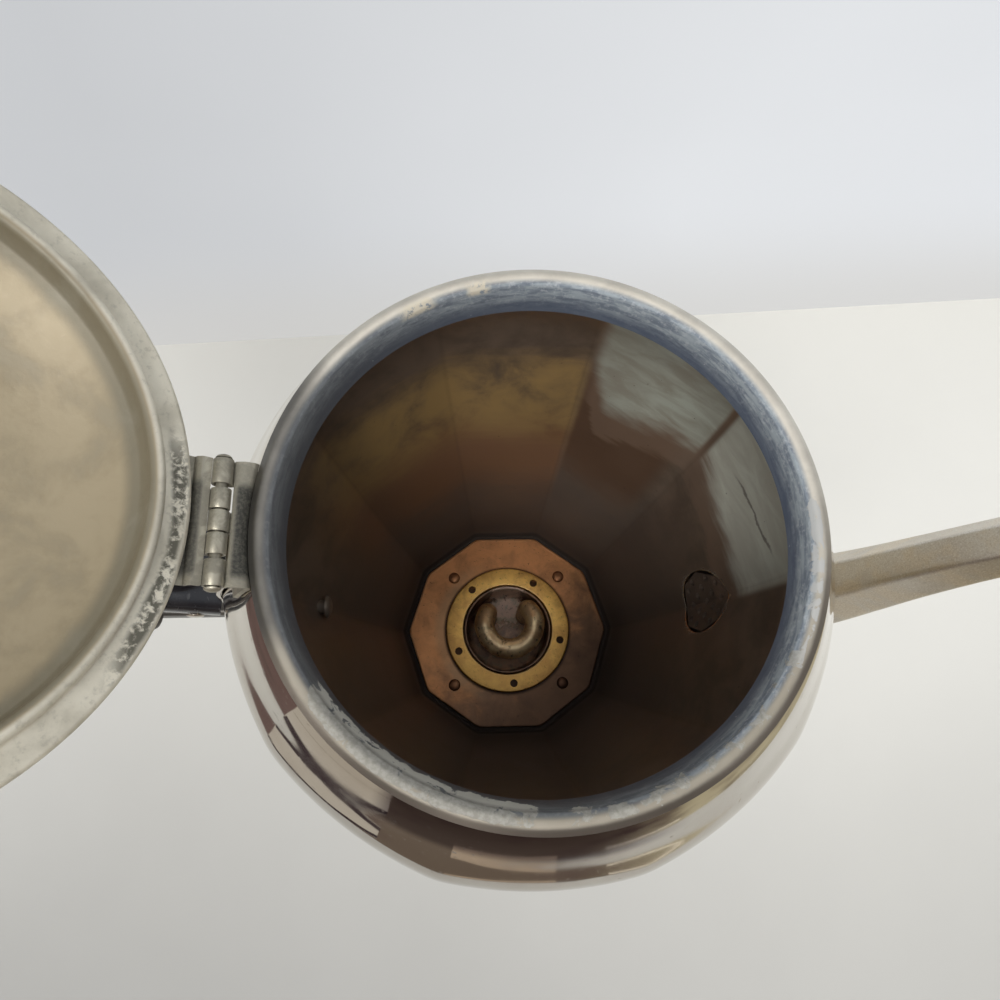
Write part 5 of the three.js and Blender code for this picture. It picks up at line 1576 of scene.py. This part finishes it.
hinge_at = np.array([-61.8 * mm, 0, rim_height + 1.25 * mm])
hinge_open = math.radians(140)
knuckle_radius, knuckle_sheet, roll_turn = 1.95 * mm, 0.55 * mm, 335
hinge_pin_radius, pin_head_radius, pin_head_length = 1.1 * mm, 1.6 * mm, 0.8 * mm
knuckle_lengths = [5 * mm, 4 * mm, 4 * mm, 4 * mm, 5 * mm]
knuckle_slacks = [1 * mm, 0.4 * mm, 0.4 * mm, 1 * mm]
leaf_sheet = 1 * mm
leaf_foot_depth = 11.5 * mm
leaf_edge = knuckle_radius + 0.2 * mm
bead_radius = rim_radius + bead_width
hinge_length = sum(knuckle_lengths) + sum(knuckle_slacks)
knuckle_tops = hinge_length / 2 - np.cumsum(np.r_[0, np.array(knuckle_lengths[:-1]) + knuckle_slacks])
knuckle_spans = [(top - length, top) for length, top in zip(knuckle_lengths, knuckle_tops)]


def opened(grid):
    """Places of the closed lid, turned about the hinge's axis to where it stands open."""
    c, s = math.cos(hinge_open), math.sin(hinge_open)
    from_axis = grid - hinge_at
    x = from_axis[..., 0] * c - from_axis[..., 2] * s
    z = from_axis[..., 0] * s + from_axis[..., 2] * c
    return np.stack([x, from_axis[..., 1], z], axis=-1) + hinge_at


def strip(name, rings):
    """Sheet carried along Y: each ring is a line and, on the way back, the same line thickened. Its two
    end rings are closed by a strip of faces across the sheet's thickness."""
    rows, columns = rings.shape[:2]
    made = surface(name, rings, fans=False)
    index = np.arange(rows * columns).reshape(rows, columns)
    half = columns // 2
    whole = bmesh.new()
    whole.from_mesh(made.data)
    whole.verts.ensure_lookup_table()
    for ring in (index[0], index[-1]):
        for i in range(half - 1):
            corners = [ring[i], ring[i + 1], ring[columns - 2 - i], ring[columns - 1 - i]]
            whole.faces.new([whole.verts[int(k)] for k in corners])
    bmesh.ops.recalc_face_normals(whole, faces=whole.faces)
    whole.to_mesh(made.data)
    whole.free()
    made.data.set_sharp_from_angle(angle=math.radians(40))
    return made


def sheet_rings(line, thickness, bends, spans, steps=24):
    """Rings of a sheet along Y: an XZ line and its copy to the left. A point keeps its X where its bend
    is 0; where it is 1 it keeps its distance from the pot's axis, so the sheet follows the bead round."""
    line = np.asarray(line, float)
    ring = np.vstack([line, offset_left(line, thickness)[::-1]])
    bend = np.r_[bends, np.asarray(bends)[::-1]]
    y = np.linspace(*spans, steps)[:, None]
    x = ring[:, 0]
    curved = -np.sqrt(np.maximum(x**2 - y**2, 0))
    return np.stack([lerp(x + 0 * y, curved, bend), y + 0 * x, ring[:, 1] + 0 * y], axis=2)


def rolled(name, span, above=False):
    """One knuckle: the sheet rolls round the pin and ends in a straight tab to the leaf's edge. The tab
    leaves the roll below it, or above it for the lid's leaf."""
    ring, inner = (
        arc(hinge_at[[0, 2]], radius, -90 - roll_turn, -90, 30)
        for radius in (knuckle_radius, knuckle_radius - knuckle_sheet)
    )
    tab_end, tab_foot = hinge_at[0] + leaf_edge + 0.4 * mm, ring[-1, 1]
    outline = np.vstack([ring, (tab_end, tab_foot), (tab_end, tab_foot + leaf_sheet * 0.9), inner[::-1]])
    if above:
        outline[:, 1] = 2 * hinge_at[2] - outline[:, 1]
    # The sheet thins at each end of the knuckle
    y = np.array([span[0], span[0] + 0.12 * mm, span[1] - 0.12 * mm, span[1]])[:, None]
    thin = np.array([0.75, 1, 1, 0.75])[:, None]
    middle = (outline + outline[::-1]) / 2
    x = lerp(middle[:, 0], outline[:, 0], thin)
    z = lerp(middle[:, 1], outline[:, 1], thin)
    return strip(name, np.stack([x, y + 0 * x, z], axis=2))


hinge_metal, shader, place = new_material("hinge_corroded_nickel")
colour, rough, relief = nickel_finish(place, 0.9)
x, y, _ = split(place)
corroded = blotched(place, 240.0, 0.47, 0.12)
toward_pot = ramp(x, -60.2 * mm, -58.5 * mm)
toward_lid = ramp(x, -63.8 * mm, -65.0 * mm)
off_ends = ramp(abs(y + 1.5 * mm), 10.5 * mm, 8 * mm)
grimy = maths("MAXIMUM", toward_pot, toward_lid * 0.92) * between(off_ends, 0.35, 1.0)
corroded = maths("MAXIMUM", corroded * 0.5, grimy)
grit = noise(place, 1500.0, 6.0, 0.65)
rusty = blend(ramp(grit, 0.4, 0.65), (0.022, 0.021, 0.018), (0.075, 0.073, 0.056))
colour = blend(0.75, colour, (0.44, 0.41, 0.31))
colour = blend(corroded * 0.97, colour, rusty)
salt, _ = crusted(place, 800.0, 0.3)
colour = blend(salt * 0.55, colour, (0.55, 0.53, 0.48))
feed(
    shader,
    Base_Color=colour,
    Metallic=between(maths("MAXIMUM", salt, corroded), 0.9, 0.1),
    Roughness=maths("MINIMUM", rough + between(corroded, 0.36, 0.62), 0.9),
    Normal=bump(relief + grit * (0.1 + corroded), 0.45, 0.2 * mm),
)

web_under = hinge_at[2] - knuckle_radius
leaf_line = spline(
    [
        (hinge_at[0] + leaf_edge, web_under),
        (-bead_radius - gap - leaf_sheet - 0.7 * mm, web_under),
        (-bead_radius - gap - leaf_sheet - 0.1 * mm, web_under - 0.7 * mm),
    ],
    10,
)
foot_heights = np.linspace(shell_top, rim_height - leaf_foot_depth, 14)
face_line = offset_left(np.column_stack([pot_line_at(foot_heights), foot_heights]), gap + leaf_sheet)
riser_line = np.array([(-bead_radius - gap - leaf_sheet, rim_height - bead_drop - 0.5 * mm)])
leaf_line = np.vstack([leaf_line, riser_line, face_line[1:] * [-1, 1]])
bends = np.clip(np.linspace(0, 3, len(leaf_line)), 0, 1)
bends[0] = 0
half = hinge_length / 2
leaf = strip("leaf", sheet_rings(leaf_line, leaf_sheet, bends, (-half, half)))
body_knuckles = [rolled("knuckle", knuckle_spans[i]) for i in (0, 2, 4)]
dressed(joined("hinge_leaf_pot", [leaf, *body_knuckles]), hinge_metal, "pot", "nickel", "hinge_body_leaf")

lid_radius = 56.5 * mm
hem_height = 2.1 * mm
leaf_tab_reach = 8 * mm
hem_top = rim_height + gap + hem_height
tab_top = hem_top + gap + leaf_sheet
lid_line = spline(
    [
        (hinge_at[0] + leaf_edge, hinge_at[2] + leaf_sheet),
        (-lid_radius - gap - leaf_sheet - 0.3 * mm, hinge_at[2] + leaf_sheet),
        (-lid_radius - gap - leaf_sheet + 0.2 * mm, tab_top - 0.5 * mm),
        (-lid_radius - gap, tab_top),
        (-lid_radius + leaf_tab_reach, tab_top),
    ],
    26,
)
lid_sheet_rings = sheet_rings(lid_line, -leaf_sheet * 0.95, np.zeros(26), (-half, half))
lid_leaf = strip("lid_leaf", opened(lid_sheet_rings))
lid_knuckles = []
for i in (1, 3):
    knuckle = rolled("lid_knuckle", knuckle_spans[i], above=True)
    places = np.empty(3 * len(knuckle.data.vertices))
    knuckle.data.vertices.foreach_get("co", places)
    knuckle.data.vertices.foreach_set("co", opened(places.reshape(-1, 3)).ravel())
    lid_knuckles.append(knuckle)
dressed(joined("hinge_leaf_lid", [lid_leaf, *lid_knuckles]), hinge_metal, "lid", "nickel", "hinge_lid_leaf")

turns = np.radians(np.linspace(88, 0, 6))
pin_half = hinge_length / 2 + gap
head = np.column_stack([pin_head_radius * np.cos(turns), pin_head_length * np.sin(turns)])
half_line = np.vstack([head + [0, pin_half], [(pin_head_radius, pin_half), (hinge_pin_radius, pin_half)]])
pin_outline = np.vstack([half_line * [1, -1], half_line[::-1]])
hinge_pin = surface("hinge_pin_steel", laid_along_y(turned(pin_outline, 32), hinge_at))
dressed(hinge_pin, hinge_metal, "pot", "steel", "hinge_pin")


# Lid
# One turned shell of plated sheet: a hemmed flange that lies on the rim, a ridge that drops into the
# throat, and a dome up to the hole for the knob. Inside, its flange is a matt cream, and coffee has
# browned its dome.

lid_sheet = 0.9 * mm
plug_radius, plug_width, plug_depth = 50.8 * mm, 2.8 * mm, 3.6 * mm
dome_step, dome_rise = 1.6 * mm, 16 * mm
knob_hole_radius = 13 * mm
flange_under = rim_height + gap
dome_shares = [(0, 1), (0.3, 0.93), (0.6, 0.7), (0.84, 0.36), (1, 0)]

plug_inner = plug_radius - plug_width
dome = [
    (lerp(knob_hole_radius, plug_inner, out), flange_under + lerp(dome_step, dome_rise, rise))
    for out, rise in dome_shares
]
ridge_radius = plug_width / 2
ridge_height = flange_under - plug_depth + ridge_radius
hem_bend = lid_sheet + gap
lid_line = np.vstack([
    spline(dome, 60),
    arc((plug_radius - ridge_radius, ridge_height), ridge_radius, 180, 360, 18),
    arc((plug_radius + lid_sheet, flange_under - lid_sheet), lid_sheet, 180, 90, 6),
    arc((lid_radius - hem_bend, flange_under + hem_bend), hem_bend, -90, 0, 8),
    [(lid_radius, flange_under + hem_height)],
])
lid_outline = np.vstack([lid_line, offset_left(lid_line, lid_sheet)[::-1]])


def lid_frame(place):
    """The place as it is when the lid lies closed: turned back about the hinge's axis."""
    centre = Vector(hinge_at.tolist())
    turn = Matrix.Rotation(hinge_open, 3, "Y")
    return stretched(place, (1, 1, 1), (0, hinge_open, 0), tuple(centre - turn @ centre))


lid_metal, shader, place = new_material("lid_nickel")
lid_place = lid_frame(place)
radius = axis_polar(lid_place)[0]
lining = lining_mask(shader)
outer_colour, outer_rough, outer_relief = nickel_finish(lid_place, 0.5)
fine = noise(lid_place, 700.0, 6.0, 0.65)
cloudy = noise(lid_place, 90.0, 5.0, 0.6, 0.3)
matt = blend(ramp(cloudy, 0.35, 0.65), (0.74, 0.70, 0.58), (0.62, 0.58, 0.47))
matt = blend(ramp(fine, 0.52, 0.7) * 0.4, matt, (0.36, 0.34, 0.28))
brown = blend(ramp(cloudy, 0.4, 0.68), (0.38, 0.315, 0.205), (0.29, 0.235, 0.145))
# Painted shadow: a dark olive band on the dome just inside the ridge, where the ridge shades it
ridge_shadow_band = ramp(radius, 49.2 * mm, 48.4 * mm) * ramp(radius, 45.0 * mm, 47.0 * mm)
brown = blend(ridge_shadow_band * 0.75, brown, (0.17, 0.155, 0.11))
wall = ramp(radius, 49.5 * mm, 48.7 * mm)
inner_colour = blend(wall, matt, brown)
x, y, _ = split(lid_place)
near_hinge = ramp(x, -44 * mm, -49 * mm) * ramp(y, 18 * mm, 8 * mm)
ragged = blotched(lid_place, 640.0, 0.46, 0.09)
run = abs(radius - (lid_radius - 2.3 * mm))
run = ramp(run + cloudy * (2.4 * mm), 3.0 * mm, 1.8 * mm)
dark = ragged * near_hinge * run
faint = blotched(lid_place, 90.0, 0.58, 0.12)
inner_colour = blend(faint * 0.3, inner_colour, (0.34, 0.32, 0.25))
inner_colour = blend(dark * 0.9, inner_colour, (0.045, 0.043, 0.027))
feed(
    shader,
    Base_Color=blend(lining, outer_colour, inner_colour),
    Metallic=between(lining, 1.0, between(wall, 0.4, 0.2) * between(dark, 1.0, 0.1)),
    Roughness=between(lining, outer_rough, between(fine, 0.36, 0.58)),
    Normal=bump(between(lining, outer_relief, fine + cloudy), 0.3, 0.2 * mm),
)
lid = surface(
    "lid_turned", opened(turned(lid_outline, 300)), closed_rows=True, sharp=50,
    attributes={"lining": np.r_[np.ones(len(lid_line)), np.zeros(len(lid_line))]},
)
dressed(lid, lid_metal, "lid", "nickel", "lid_shell")


# Glass knob, its collar and spring ring
# A hollow glass bulb in which the coffee shows. It stands in a nickel collar on the lid's crown, and a
# spring ring grips its tail inside.

collar_radius, collar_height = 16.5 * mm, 3 * mm
glass_neck_radius, glass_bulb_radius = 12.2 * mm, 14.5 * mm
glass_height, glass_wall, glass_tail = 24 * mm, 2 * mm, 6 * mm
spring_radius, spring_sheet = 15.5 * mm, 0.8 * mm
bulb_shares = [(1, 0.18), (1, 0.5), (0.78, 0.84), (0.38, 0.97)]
knob_seat = flange_under + dome_rise + lid_sheet
knob_columns = 96

collar_base = knob_seat + gap
shoulder = collar_base + collar_height
collar_bore = glass_neck_radius + gap
corner = 0.3 * mm
collar_outline = np.vstack([
    [(collar_bore, collar_base), (collar_radius - corner, collar_base)],
    arc((collar_radius - corner, collar_base + corner), corner, -90, 0, 5),
    spline(
        [
            (collar_radius, collar_base + collar_height / 3),
            (collar_radius - 1.2 * mm, collar_base + 0.62 * collar_height),
            (collar_bore + 2 * spring_sheet, shoulder - 0.1 * mm),
        ],
        12,
    ),
    [(collar_bore + corner, shoulder), (collar_bore, shoulder - corner)],
])
collar = surface("knob_ring", opened(turned(collar_outline, knob_columns)), closed_rows=True)
dressed(collar, base_nickel, "lid", "nickel", "knob_collar")

tail_height = flange_under + dome_rise - glass_tail
crown = shoulder + glass_height
bulb = [(glass_bulb_radius * out, shoulder + glass_height * rise) for out, rise in bulb_shares]
outer_glass = np.vstack([
    [(glass_neck_radius, height) for height in (tail_height, tail_height + 2 * mm, shoulder - 1 * mm)],
    spline([(glass_neck_radius, shoulder), *bulb, (near_axis, crown)], 50),
])
inner_glass = offset_left(outer_glass, glass_wall)
inner_glass[:, 0] = np.maximum(inner_glass[:, 0], near_axis)
glass, shader, place = new_material("knob_glass", Transmission_Weight=1.0, IOR=1.5, Metallic=0.0)
lid_place = lid_frame(place)
drawn = noise(stretched(lid_place, (1, 1, 0.4)), 130.0, 3.0)
smear = blotched(lid_place, 110.0, 0.56, 0.12)
feed(
    shader,
    Base_Color=blend(smear * 0.3, (0.97, 0.975, 0.97), (0.90, 0.86, 0.78)),
    Roughness=smear * 0.08,
    Normal=bump(drawn, 0.2, 0.4 * mm),
)
glass_outline = np.vstack([outer_glass, inner_glass[::-1]])
bulb_piece = surface("glass_bulb", opened(turned(glass_outline, knob_columns)), closed_rows=True)
dressed(bulb_piece, glass, "lid", "glass", "knob_glass")

ring_top = flange_under + dome_rise - 2 * gap
ring_outline = np.vstack([
    [(collar_bore, ring_top - glass_tail / 2), (collar_bore + spring_sheet, ring_top - glass_tail / 2)],
    arc((collar_bore + 2 * spring_sheet, ring_top - 2 * spring_sheet), spring_sheet, 180, 90, 5),
    [(spring_radius, ring_top - spring_sheet), (spring_radius, ring_top), (collar_bore, ring_top)],
])
spring = surface("spring_ring", opened(turned(ring_outline, knob_columns)), closed_rows=True)
dressed(spring, zinc, "lid", "steel", "knob_spring_ring")
